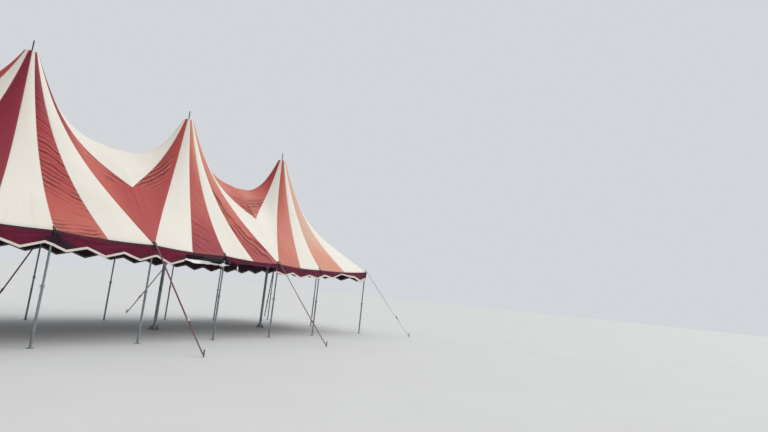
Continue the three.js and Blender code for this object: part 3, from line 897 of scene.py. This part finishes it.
def post_parts(x, y, eave, outward):
    """One eave post: foot, two tubes that slide into each other, locking pin, head and pin.

    Its round bodies are turned profiles. The head is a dark rubber boot under the cover, and
    the steel pin goes through the cover and narrows to a short tip.
    """
    beside = heading(math.atan2(-outward[1], -outward[0]) + LOCKING_PIN_TURN)
    tube_top = ((0.0240, eave - 0.118), (0.0150, eave - 0.116))
    foot = turned(POST_FOOT + tube_top, 20, (x, y, 0))
    head = turned(POST_HEAD, 18, (x, y, eave))
    pin = turned(POST_PIN, 12, (x, y, eave))
    middle = np.array((x, y, LOCKING_PIN_HEIGHT))
    bar = swept([middle - 0.052 * beside, middle + 0.05 * beside], UP, circle(0.0055, 8))
    loop = middle + 0.056 * beside - 0.017 * UP + circle(0.018, 16, beside, UP)
    hoop = swept(loop, np.cross(beside, UP), circle(0.0025, 6), True)
    return [(foot, 0), (head, 1), (pin, 2), (bar, 2), (hoop, 2)]


def tab_parts(x, y, eave, outward):
    """A dark reinforcing tab at a post: over the cover, round the eave, and down the valance.

    It is a bar section whose path lies 6 mm over the plain cover and then, clear of the
    valance, 30 to 50 mm outside the rim. Its width narrows to round ends by a square root.
    """
    normal = np.array((*outward, 0.0))
    across = np.cross(UP, normal)
    rim = np.array((x, y, 0)) + POST_INSET * normal
    spots = rim + np.linspace(-0.085, -0.012, 8)[:, None] * normal
    height = cover_height(spots[:, 0], spots[:, 1]) + 0.006
    top = spots + height[:, None] * UP
    bend = [rim + 0.012 * normal + (eave + 0.012) * UP, rim + 0.026 * normal + (eave - 0.006) * UP]
    fall = [rim + (0.030 + 0.02 * t) * normal + (eave - 0.02 - 0.045 * t) * UP
            for t in np.linspace(0, 1, 7)]
    path = np.concatenate([top, bend, fall])
    length = np.linspace(0, 1, len(path))
    width = 0.5 * np.clip(np.minimum(length, 1 - length) / 0.12, 0.12, 1) ** 0.5 * (0.052 - 0.008 * length)
    points, faces, flat = swept(path, across, rounded_bar(2, 0.004, 0.0019, 1))
    offset = points.reshape(len(path), -1, 3) - path[:, None]
    sideways = (offset @ across)[..., None] * across
    narrowed = path[:, None] + offset + sideways * (width[:, None, None] - 1)
    return [((narrowed.reshape(-1, 3), faces, flat), 1)]


def post_piece(name, x, y, eave, outward, materials, node):
    """One post with the tab that lies over the eave at its head."""
    parts = post_parts(x, y, eave, outward) + tab_parts(x, y, eave, outward)
    dress(assembled(name, parts), materials, "post_metal", node)


def king_parts(x):
    """One king pole: foot plate with gussets, three tubes joined by sleeves, shoulder and tip."""
    profile = list(KING_FOOT)
    for joint in KING_JOINTS:
        profile += [(radius, joint - half) for radius, half in KING_SLEEVE]
        profile += [(radius, joint + half) for radius, half in KING_SLEEVE[::-1]]
    profile += [(0.05, SEAT - 0.05), (0.062, SEAT - 0.045), (0.064, SEAT - 0.04),
                (0.064, SEAT - 0.004), (0.062, SEAT)]
    tip = ((0.018, SEAT), (0.018, PEAK + 0.05), (0.016, PEAK + 0.056), (0.0155, TIP_TOP - 0.01),
           (0.012, TIP_TOP - 0.002), (0.005, TIP_TOP))
    parts = [(turned(profile, 32, (x, 0, 0)), 0), (turned(tip, 16, (x, 0, 0)), 1)]
    for quarter in range(4):
        turn = math.pi / 4 + quarter * math.pi / 2
        out = heading(turn)
        beside = np.cross(UP, out)
        points, faces, flat = swept([0.004 * beside, -0.004 * beside], out, KING_GUSSET)
        parts.append(((points + (x, 0, 0.0135), faces, flat), 0))
        spot = np.array((x, 0, 0.013)) + 0.155 * heading(turn + 0.78)
        parts.append((bolt(spot, 0.0135), 1))
    for joint in KING_JOINTS:
        for height in (joint - 0.1, joint + 0.1):
            bar = swept([(x, -0.064, height), (x, 0.064, height)], (1, 0, 0), circle(0.007, 6))
            parts.append((bar, 1))
    return parts


def ring_parts(x):
    """One peak ring: a round-edged hoop, the disc that sits on the pole, and its bolts."""
    inner = RING_RADIUS - RING_WALL
    low = PEAK - RING_DEPTH
    hoop = (
        (inner, low + 0.004), (inner + 0.004, low), (RING_RADIUS - 0.004, low),
        (RING_RADIUS, low + 0.004), (RING_RADIUS, PEAK - 0.005), (RING_RADIUS - 0.005, PEAK),
        (inner + 0.005, PEAK), (inner, PEAK - 0.005))
    disc = (
        (0.0185, SEAT + 0.001), (inner + 0.001, SEAT + 0.001), (inner + 0.001, SEAT + 0.019),
        (inner - 0.004, SEAT + 0.0205), (0.034, SEAT + 0.0205), (0.032, SEAT + 0.03),
        (0.0205, SEAT + 0.03), (0.0185, SEAT + 0.028))
    parts = [(turned(profile, 48, (x, 0, 0), True), 0) for profile in (hoop, disc)]
    for turn in np.arange(6) * np.pi / 3:
        spot = np.array((x, 0, SEAT + 0.019)) + RING_BOLT_REACH * heading(turn)
        parts.append((bolt(spot, 0.0115), 1))
    return parts


def guy_parts(x, y, eave, turn):
    """One guy: eye plate on the pin, taut webbing, ratchet, and the stake that it pulls on.

    The webbing is a bar section along a line that sags a little as a parabola and turns
    slightly about itself. Everything lies in the upright plane of the guy's direction.
    """
    out = heading(turn)
    foot = np.array((x, y, 0)) + GUY_REACH * out
    start = np.array((x, y, eave + 0.098)) + 0.03 * out
    end = foot + 0.06 * UP - 0.03 * out
    along = (end - start) / np.linalg.norm(end - start)
    above = np.cross(along, np.cross(UP, out))
    above = above * np.sign(above @ UP)
    beside = np.cross(above, along)
    share = np.linspace(0, 1, 70)
    path = start + share[:, None] * (end - start) - 4 * GUY_SAG * (share * (1 - share))[:, None] * UP
    roll = 0.16 * np.sin(np.pi * share) * np.sin(3.1 * share + x)
    across = np.cos(roll)[:, None] * beside + np.sin(roll)[:, None] * above
    plate = turned(EYE_PLATE, 20, (x, y, eave + 0.0985), True)
    strap = swept(path, across, rounded_bar(0.05, 0.003, 0.0012, 1))
    parts = [(plate, 1), (strap, 0)]
    for first, last in GUY_DOUBLED:
        there = (share >= first - 0.01) & (share <= last + 0.01)
        layer = swept(path[there] + 0.0036 * above, across[there], rounded_bar(0.049, 0.003, 0.0012, 1))
        parts.append((layer, 0))
    axes = (along, beside, above)
    middle = start + RATCHET_PLACE * (end - start) - 0.024 * UP
    for at, height, centre, half, section, number in RATCHET_BARS:
        bar = swept([(at, centre - half, height), (at, centre + half, height)], (1, 0, 0), section)
        parts.append((moved(bar, axes, middle), number))
    handle = swept(RATCHET_HANDLE, (0, 1, 0), rounded_bar(0.05, 0.004, 0.0015, 1))
    parts.append((moved(handle, axes, middle), 1))
    loop = foot + 0.06 * UP + circle(0.026, 20, along, beside)
    parts.append((swept(loop, above, circle(0.0055, 8), True), 1))
    parts.append((turned(STAKE, 20, foot), 2))
    return parts


def ribbon_piece(material):
    """The length of binding that hangs on alone past the tear.

    A sheet on a grid of places by rows: its middle line is a smooth curve through a few points
    below the eave, it turns about that line on slow noise, and it narrows towards its end near a post.
    """
    knots = np.array(RIBBON_LINE)
    place = np.linspace(knots[0, 0], knots[-1, 0], 150)
    kernel = np.hanning(15) / np.hanning(15).sum()
    plain = [np.pad(np.interp(place, knots[:, 0], line), 7, mode="edge") for line in knots.T[1:]]
    down, stand = (np.convolve(line, kernel, mode="valid") for line in plain)
    blotchy = (0.016 + 0.026 * soft_noise(place * 7, 0 * place, 61)) * ease(place, 1.05, 1.30)
    width = (0.027 + blotchy) * (1 - 0.5 * ease(place, 2.45, 2.67))
    roll = (1.1 * soft_noise(place * 2.3, 0 * place, 62)
            * ease(place, 1.0, 1.2) * (1 - ease(place, 2.55, 2.7)))
    offset = np.linspace(-1, 1, RIBBON_ROWS)[:, None]
    z = EAVE - down - offset * width * np.cos(roll)
    y = -HALF_WIDTH - stand + offset * width * np.sin(roll)
    points = np.stack([np.broadcast_to(place, z.shape), y, z], axis=2)
    faces = grid_faces(*z.shape, False)
    thing = make_mesh("loose_binding", points.reshape(-1, 3), [faces])
    u = (place + 0 * offset).ravel()[faces]
    v = (0.05 * offset + 0 * place).ravel()[faces]
    set_uv(thing, np.stack([u, v], axis=2))
    cloth_values(thing, 0.3, 0.05 + 0.02 * offset, 0.1, np.zeros(z.shape))
    thicken(thing, RIBBON_THICKNESS, 0)
    dress(thing, [material], "valance_fabric")


def new_material(name, colour, roughness, metallic=0.0):
    """A material with its Principled shader set, and the node tree to build on."""
    material = bpy.data.materials.new(name)
    material.use_nodes = True
    tree = material.node_tree
    shader = tree.nodes["Principled BSDF"]
    shader.inputs["Base Color"].default_value = (*colour, 1)
    shader.inputs["Roughness"].default_value = roughness
    shader.inputs["Metallic"].default_value = metallic
    return material, tree, shader


def feed(tree, socket, value):
    """Links a socket to another one, or sets its value."""
    if isinstance(value, bpy.types.NodeSocket):
        tree.links.new(value, socket)
    elif value is not None:
        socket.default_value = (*value, 1) if isinstance(value, tuple) and len(value) == 3 else value


def maths(tree, operation, first, second=None, third=None):
    """One Math node's result."""
    node = tree.nodes.new("ShaderNodeMath")
    node.operation = operation
    for socket, value in zip(node.inputs, (first, second, third)):
        feed(tree, socket, value)
    return node.outputs[0]


def times(tree, first, second, more=None):
    """Two values multiplied, and a third one added where it is given."""
    return maths(tree, "MULTIPLY" if more is None else "MULTIPLY_ADD", first, second, more)


def plus(tree, first, second):
    """The sum of two values."""
    return maths(tree, "ADD", first, second)


def minus(tree, first, second):
    """The first value less the second."""
    return maths(tree, "SUBTRACT", first, second)


def apart(tree, first, second):
    """How far two values lie apart."""
    return maths(tree, "ABSOLUTE", minus(tree, first, second))


def wave(tree, value, pitch):
    """A sine wave of a value, with a pitch in metres."""
    return maths(tree, "SINE", times(tree, value, 2 * math.pi / pitch))


def split(tree, vector):
    """The three numbers of a vector."""
    node = tree.nodes.new("ShaderNodeSeparateXYZ")
    tree.links.new(vector, node.inputs[0])
    return node.outputs


def eased(tree, value, low, high, start=0.0, end=1.0):
    """A smooth step of a value from start at low to end at high."""
    node = tree.nodes.new("ShaderNodeMapRange")
    node.interpolation_type = "SMOOTHSTEP"
    for name, number in (("Value", value), ("From Min", low), ("From Max", high),
                         ("To Min", start), ("To Max", end)):
        feed(tree, node.inputs[name], number)
    return node.outputs["Result"]


def blended(tree, factor, first, second):
    """One Mix node's colour, which goes from the first to the second by a factor."""
    node = tree.nodes.new("ShaderNodeMix")
    node.data_type = "RGBA"
    for index, value in ((0, factor), (6, first), (7, second)):
        feed(tree, node.inputs[index], value)
    return node.outputs[2]


def grain(tree, vector, scale, detail, roughness):
    """One Noise node's value."""
    node = tree.nodes.new("ShaderNodeTexNoise")
    feed(tree, node.inputs["Vector"], vector)
    node.inputs["Scale"].default_value = scale
    node.inputs["Detail"].default_value = detail
    node.inputs["Roughness"].default_value = roughness
    return node.outputs[0]


def stretched(tree, vector, scale):
    """A vector scaled by three numbers."""
    node = tree.nodes.new("ShaderNodeVectorMath")
    node.operation = "MULTIPLY"
    feed(tree, node.inputs[0], vector)
    node.inputs[1].default_value = scale
    return node.outputs[0]


def attribute(tree, name):
    """A named number carried by the mesh."""
    node = tree.nodes.new("ShaderNodeAttribute")
    node.attribute_name = name
    return node.outputs["Fac"]


def place_on(tree):
    """The point in the row frame."""
    return tree.nodes.new("ShaderNodeTexCoord").outputs["Object"]


def cloth_map(tree, name="cloth"):
    """The two numbers of one of the cloth's own maps, and both as a vector."""
    node = tree.nodes.new("ShaderNodeUVMap")
    node.uv_map = name
    u, v, _ = split(tree, node.outputs[0])
    return u, v, node.outputs[0]


def raised(tree, shader, height, distance):
    """Bump from a height that is multiplied by a distance in metres."""
    node = tree.nodes.new("ShaderNodeBump")
    node.inputs["Distance"].default_value = distance
    node.inputs["Strength"].default_value = 1.0
    tree.links.new(height, node.inputs["Height"])
    tree.links.new(node.outputs[0], shader.inputs["Normal"])


def coat(tree, shader, colour, roughness):
    """Gives the shader a colour and a roughness that change over the surface."""
    tree.links.new(colour, shader.inputs["Base Color"])
    tree.links.new(roughness, shader.inputs["Roughness"])


def weave_height(tree, point):
    """Height of a plain weave over the row frame: the product of two sine waves."""
    x, y, z = split(tree, point)
    warp = wave(tree, plus(tree, x, y), WEAVE_PITCH)
    weft = wave(tree, z, WEAVE_PITCH)
    return times(tree, times(tree, warp, weft), 0.5, 0.5)


def stitches(tree, apart_from_row, along, near, far):
    """Dashes of thread: strong within near of a row and gone past far, with gaps along it."""
    dash = maths(tree, "GREATER_THAN", wave(tree, along, STITCH_PITCH), -0.4)
    return times(tree, eased(tree, apart_from_row, near, far, 1.0, 0.0), dash)


def crease_height(tree, point):
    """Height of the sharp creases in metres, and how far a point lies into one, from -1 to 1,
    which sets the painted shade in a trough and the painted highlight on a crest.

    Over one crease the height climbs by a short eased step and falls by a long one. Its
    strength is a random number for each crease times slow noise along it.
    """
    line, depth, _ = cloth_map(tree, "folds")
    waver = grain(tree, point, 2.4, 3.0, 0.5)
    line = plus(tree, line, times(tree, waver, 1.0, -0.5))
    number = maths(tree, "FLOOR", line)
    part = minus(tree, line, number)
    random = tree.nodes.new("ShaderNodeTexWhiteNoise")
    random.noise_dimensions = "1D"
    tree.links.new(number, random.inputs["W"])
    climb = eased(tree, part, 0.02, 0.40)
    fall = eased(tree, part, 0.40, 0.98, 1.0, 0.0)
    along = grain(tree, point, 1.7, 2.0, 0.5)
    strength = times(tree, times(tree, random.outputs["Value"], 1.1, 0.3),
                     eased(tree, along, 0.30, 0.54, 0.25, 1.15))
    ridge = times(tree, climb, fall)
    height = times(tree, times(tree, ridge, strength), depth)
    shade = times(tree, minus(tree, 0.5, ridge), eased(tree, depth, 0.004, 0.03))
    return height, times(tree, times(tree, shade, strength), 2.0)


def cover_cloth(name, painted_shade):
    """Coated tent cloth: cream and red panels, seams with two rows of stitches, weather marks.

    Its inner face is painted dark navy as painted shade, through which the panels only just show.
    """
    material, tree, shader = new_material(name, CREAM, 0.42)
    point = place_on(tree)
    u, v, both = cloth_map(tree)
    gap = attribute(tree, "from_seam")
    edge = attribute(tree, "from_eave")
    is_red = maths(tree, "MODULO", maths(tree, "FLOOR", u), 2.0)
    broad = grain(tree, point, 0.55, 4.0, 0.55)
    fine = grain(tree, point, 5.0, 5.0, 0.6)
    streaks = grain(tree, stretched(tree, both, (9.0, 0.35, 1.0)), 1.0, 4.0, 0.6)
    fold, fold_light_and_shade = crease_height(tree, point)
    cream = blended(tree, eased(tree, broad, 0.3, 0.75), CREAM, DULL_CREAM)
    uneven = times(tree, broad, 0.24, times(tree, fine, 0.12, -0.18))
    # Painted light and shade: red faces turned towards the light's side are painted paler, and faces turned
    # away deeper.
    painted_facing_light = times(tree, attribute(tree, "faces_painted_light"), 0.24, -0.14)
    bleach_and_light = plus(tree, attribute(tree, "fade_and_light"), plus(tree, uneven, painted_facing_light))
    # The red steps from deep to pale by real fading together with painted light and shade.
    red = DEEPEST_RED
    for low, high, paler in REDS_BY_FADE_AND_LIGHT:
        red = blended(tree, eased(tree, bleach_and_light, low, high), red, paler)
    marks = times(tree, eased(tree, streaks, 0.52, 0.78),
                  eased(tree, attribute(tree, "height_share"), 0.45, 1.0))
    welt = eased(tree, gap, SEAM_WELT, SEAM_WELT + 0.0015, 1.0, 0.0)
    row = apart(tree, apart(tree, gap, SEAM_WELT / 2 + 0.001), 0.0045)
    stitch = stitches(tree, row, v, 0.0004, 0.0010)
    colour = blended(tree, is_red, cream, red)
    for amount, laid_over in (
        # Painted shade in the creases' troughs and painted highlight on their crests.
        (times(tree, fold_light_and_shade, 0.45), FOLD_SHADE),
        (times(tree, fold_light_and_shade, -0.35), FOLD_CREST_HIGHLIGHT),
        (times(tree, marks, 0.16), RAIN_MARK),
        (times(tree, eased(tree, edge, 0.0, 0.10, 0.45, 0.0), fine), EAVE_GRIME),
        (eased(tree, edge, 0.012, 0.016, 1.0, 0.0), EAVE_HEM),
        (times(tree, welt, 0.07), WELT_SHADE),
        (times(tree, stitch, 0.5), COVER_THREAD),
        # Painted shade: the inner face is painted dark navy.
        (painted_shade, INNER_FACE_SHADE),
    ):
        colour = blended(tree, amount, colour, laid_over)
    coat(tree, shader, colour, times(tree, marks, 0.15, times(tree, fine, 0.16, 0.36)))
    shader.inputs["Specular IOR Level"].default_value = CLOTH_SPECULAR
    height = times(tree, weave_height(tree, point), 0.0005, times(tree, fine, 0.002))
    height = times(tree, welt, 0.0006, height)
    height = times(tree, stitch, 0.0008, height)
    raised(tree, shader, plus(tree, height, fold), 1.0)
    return material


def valance_cloth(name, painted_shade, clean, soiled):
    """Maroon valance: a black band along the eave, and a stitched binding of two tones below."""
    material, tree, shader = new_material(name, MAROON, 0.5)
    point = place_on(tree)
    u, _, both = cloth_map(tree)
    top = attribute(tree, "from_top")
    into = attribute(tree, "into_binding")
    broad = grain(tree, point, 1.3, 4.0, 0.55)
    fine = grain(tree, point, 14.0, 4.0, 0.6)
    streaks = grain(tree, stretched(tree, both, (1.6, 16.0, 1.0)), 1.0, 4.0, 0.6)
    maroon = blended(tree, eased(tree, broad, 0.3, 0.7), MAROON, WORN_MAROON)
    maroon = blended(tree, eased(tree, streaks, 0.40, 0.64, 0.0, 0.8), maroon, MAROON_STREAK)
    # Painted shadow: dark navy in the folds under some posts.
    maroon = blended(tree, attribute(tree, "fold_shadow"), maroon, FOLD_SHADOW_COLOUR)
    bound = times(tree, maths(tree, "GREATER_THAN", into, 0.0005),
                  maths(tree, "GREATER_THAN", attribute(tree, "binding_width"), 0.02))
    binding = blended(tree, eased(tree, streaks, 0.45, 0.75), clean, soiled)
    colour = blended(tree, bound, maroon, binding)
    band = eased(tree, top, HEM_BAND - 0.001, HEM_BAND + 0.001, 1.0, 0.0)
    colour = blended(tree, band, colour, blended(tree, fine, *BAND_BLACKS))
    rows = maths(tree, "MINIMUM", apart(tree, into, 0.005), apart(tree, top, HEM_BAND - 0.004))
    stitch = stitches(tree, rows, u, 0.0005, 0.0012)
    colour = blended(tree, times(tree, stitch, 0.6), colour, VALANCE_THREAD)
    # Painted shade: the inner face is painted dark.
    colour = blended(tree, painted_shade, colour, VALANCE_BACK_SHADE)
    coat(tree, shader, colour, times(tree, fine, 0.2, 0.38))
    shader.inputs["Specular IOR Level"].default_value = CLOTH_SPECULAR
    height = times(tree, weave_height(tree, point), 0.15, times(tree, fine, 0.5))
    raised(tree, shader, times(tree, stitch, 0.25, height), 0.003)
    return material


def metal(name, colour, worn, roughness, metallic, scale):
    """Weathered metal: cloudy colour, worn patches, fine scratches along its length, and bump."""
    material, tree, shader = new_material(name, colour, roughness, metallic)
    point = place_on(tree)
    cloudy = grain(tree, point, scale, 5.0, 0.6)
    speck = grain(tree, point, scale * 9, 4.0, 0.65)
    scratch = grain(tree, stretched(tree, point, (260.0, 260.0, 14.0)), 1.0, 2.0, 0.6)
    dull = tuple(0.62 * part for part in colour)
    base = blended(tree, eased(tree, cloudy, 0.35, 0.7), colour, dull)
    wear = times(tree, eased(tree, speck, 0.56, 0.66), eased(tree, cloudy, 0.42, 0.6))
    base = blended(tree, wear, base, worn)
    base = blended(tree, eased(tree, scratch, 0.66, 0.72, 0.0, 0.4), base, SCRATCHED)
    rough = times(tree, cloudy, 0.24, roughness - 0.12)
    coat(tree, shader, base, times(tree, wear, 0.25, rough))
    height = times(tree, speck, 0.5, times(tree, scratch, -0.3))
    raised(tree, shader, times(tree, wear, -0.4, height), 0.0006)
    return material


def black_rubber():
    """Dark coated cloth and rubber at the post heads: fine grain and dusty patches."""
    material, tree, shader = new_material("black_rubber", RUBBER, 0.6)
    point = place_on(tree)
    fine = grain(tree, point, 60.0, 4.0, 0.6)
    dust = grain(tree, point, 9.0, 4.0, 0.6)
    colour = blended(tree, eased(tree, dust, 0.5, 0.8, 0.0, 0.5), RUBBER, DUSTY_RUBBER)
    coat(tree, shader, colour, times(tree, dust, 0.25, 0.45))
    shader.inputs["Specular IOR Level"].default_value = 0.2
    raised(tree, shader, fine, 0.0008)
    return material


def guy_webbing():
    """Woven strap: ribs across it, a lighter thread at each edge, and mud near the ground."""
    material, tree, shader = new_material("guy_webbing", STRAP, 0.75)
    point = place_on(tree)
    u, v, _ = cloth_map(tree)
    rib = wave(tree, v, 0.0035)
    cross = wave(tree, u, 0.0045)
    fine = grain(tree, point, 22.0, 4.0, 0.6)
    colour = blended(tree, eased(tree, fine, 0.35, 0.7), STRAP, WORN_STRAP)
    edge = eased(tree, maths(tree, "ABSOLUTE", u), 0.0205, 0.0225)
    colour = blended(tree, times(tree, edge, 0.35), colour, STRAP_EDGE)
    height = split(tree, point)[2]
    mud = times(tree, eased(tree, height, 0.05, 0.7, 1.0, 0.0), fine)
    coat(tree, shader, blended(tree, mud, colour, MUD), times(tree, fine, 0.2, 0.62))
    shader.inputs["Sheen Weight"].default_value = 0.2
    raised(tree, shader, times(tree, times(tree, rib, cross), 0.5, 0.5), 0.0007)
    return material


def pale_floor():
    """Plain pale floor with very faint mottling."""
    material, tree, shader = new_material("pale_floor", FLOOR_TONES[0], 0.8)
    cloudy = grain(tree, place_on(tree), 0.35, 4.0, 0.55)
    tree.links.new(blended(tree, cloudy, *FLOOR_TONES), shader.inputs["Base Color"])
    shader.inputs["Specular IOR Level"].default_value = 0.15
    return material


def add_camera():
    """The photograph's camera: its place, its heading, its tilt up and its roll."""
    yaw, pitch, roll = (math.radians(angle) for angle in (CAMERA_YAW, CAMERA_PITCH, CAMERA_ROLL))
    level = heading(-yaw)
    forward = math.cos(pitch) * heading(math.pi / 2 - yaw) + math.sin(pitch) * UP
    upright = np.cross(level, forward)
    right = math.cos(roll) * level + math.sin(roll) * upright
    above = math.cos(roll) * upright - math.sin(roll) * level
    data = bpy.data.cameras.new("photograph_camera")
    data.lens = CAMERA_LENS
    data.sensor_width = 36
    data.sensor_fit = "HORIZONTAL"
    data.clip_end = 400
    thing = bpy.data.objects.new("photograph_camera", data)
    bpy.context.scene.collection.objects.link(thing)
    axes = np.eye(4)
    axes[:3] = np.stack([right, above, -forward, CAMERA_PLACE], axis=1)
    thing.matrix_world = Matrix(axes.tolist())
    bpy.context.scene.camera = thing


def add_light(name, towards, strength, angle, colour):
    """A soft sun that shines along a direction."""
    data = bpy.data.lights.new(name, "SUN")
    data.energy = strength
    data.angle = math.radians(angle)
    data.color = colour
    thing = bpy.data.objects.new(name, data)
    bpy.context.scene.collection.objects.link(thing)
    thing.rotation_euler = Vector(towards).to_track_quat("-Z", "Y").to_euler()


def add_surroundings():
    """Pale floor, pale even surroundings, and two soft lights: one from the right, one from above."""
    corners = FLOOR_REACH * np.array([(-1, -1, 0), (1, -1, 0), (1, 1, 0), (-1, 1, 0)])
    floor = make_mesh("floor", corners, [np.arange(4)[None, :]])
    floor.data.materials.append(pale_floor())
    world = bpy.data.worlds.new("studio")
    bpy.context.scene.world = world
    world.use_nodes = True
    background = world.node_tree.nodes["Background"]
    background.inputs["Color"].default_value = (0.90, 0.93, 0.97, 1)
    background.inputs["Strength"].default_value = 0.72
    add_light("key", (-0.72, 0.30, -0.62), 1.3, 50, (1.0, 0.97, 0.93))
    add_light("top", (0.1, 0.25, -1.0), 0.5, 80, (0.97, 0.98, 1.0))


# The cover's second material paints the inner face dark as painted shade.
cover = [cover_cloth("cover_cloth", 0.0), cover_cloth("cover_inner_painted_shade", 0.90)]
# The valance's second material paints its inner face dark as painted shade.
valance = [valance_cloth("valance_cloth", 0.0, *BINDING_TONES),
           valance_cloth("valance_inner_painted_shade", 0.75, *BINDING_TONES)]
# Metals: colour, colour where worn, roughness, how metallic, and scale of the clouds.
king_metal = metal("king_pole_metal", (0.30, 0.33, 0.345), (0.20, 0.15, 0.11), 0.45, 0.7, 1.7)
dark_metal = metal("tip_metal", (0.05, 0.05, 0.055), (0.14, 0.10, 0.08), 0.5, 0.6, 6.0)
ring_metal = metal("ring_metal", (0.46, 0.47, 0.46), (0.24, 0.18, 0.13), 0.5, 0.5, 7.0)
post_metal = metal("post_metal", (0.27, 0.31, 0.345), (0.20, 0.14, 0.10), 0.45, 0.6, 3.0)
steel = metal("pin_steel", (0.36, 0.36, 0.35), (0.19, 0.13, 0.09), 0.42, 0.85, 18.0)
stake_steel = metal("stake_steel", (0.20, 0.17, 0.15), (0.22, 0.10, 0.05), 0.6, 0.6, 14.0)
post_finish = [post_metal, black_rubber(), steel]
guy_finish = [guy_webbing(), steel, stake_steel]

for bay in range(BAY_COUNT):
    cover_piece(bay, cover)
    king = assembled(f"pole_{bay + 1}", king_parts(POLE_X[bay]))
    dress(king, [king_metal, dark_metal], "king_pole_metal", f"king_pole_{bay + 1}")
    ring = assembled(f"ring_{bay + 1}", ring_parts(POLE_X[bay]))
    dress(ring, [ring_metal, steel], "ring_metal", f"peak_ring_{bay + 1}")

corner_x = ROW_END - POST_INSET
long_posts = [-corner_x, *((step - BAY_COUNT) * HALF_BAY for step in range(1, 2 * BAY_COUNT)), corner_x]
for name, side in (("front", -1), ("back", 1)):
    y = side * (HALF_WIDTH - POST_INSET)
    for number, x in enumerate(long_posts, 1):
        corner = abs(x) == corner_x
        eave = EAVE + (CORNER_RISE if corner else 0)
        post_piece(f"post_{name}_{number}", x, y, eave, (0, side), post_finish, f"eave_post_{name}_{number}")
        if corner or number % 2:
            turn = math.atan2(side, math.copysign(1, x) if corner else 0)
            guy = assembled(f"stay_{name}_{(number + 1) // 2}", guy_parts(x, y, eave, turn))
            dress(guy, guy_finish, "guy_webbing", f"guy_{name}_{(number + 1) // 2}")
for name, side in (("left", -1), ("right", 1)):
    post_piece(f"post_{name}_middle", side * corner_x, 0, EAVE + CORNER_RISE, (side, 0), post_finish,
               f"eave_post_{name}_end")

long_half = ROW_END + VALANCE_STAND
end_half = HALF_WIDTH + VALANCE_STAND
end_posts = [-HALF_WIDTH, 0, HALF_WIDTH]
whole_edge = whole(zigzag_edge(long_half, VALANCE_POINTS, VALANCE_SHIFT))
end_edge = whole(zigzag_edge(end_half, END_VALANCE_POINTS, 0))
for name, half, edge, top_at, posts, outward in (
    ("front", long_half, front_edge(long_half), long_side_top, long_posts, (0, -1)),
    ("back", long_half, whole_edge, long_side_top, long_posts, (0, 1)),
    ("left", end_half, end_edge, end_top, end_posts, (-1, 0)),
    ("right", end_half, end_edge, end_top, end_posts, (1, 0)),
):
    valance_piece(f"scalloped_valance_{name}", half, edge, top_at, posts, outward, valance,
                  f"valance_{name}", FIRST_VALANCE_SEED + len(name) + sum(outward))
ribbon_piece(valance_cloth("loose_binding_cloth", 0.0, *LOOSE_BINDING_TONES))

add_surroundings()
add_camera()
bpy.context.scene.view_settings.view_transform = "Standard"
bpy.context.scene.view_settings.look = "None"
bpy.context.scene.view_settings.exposure = 0.0
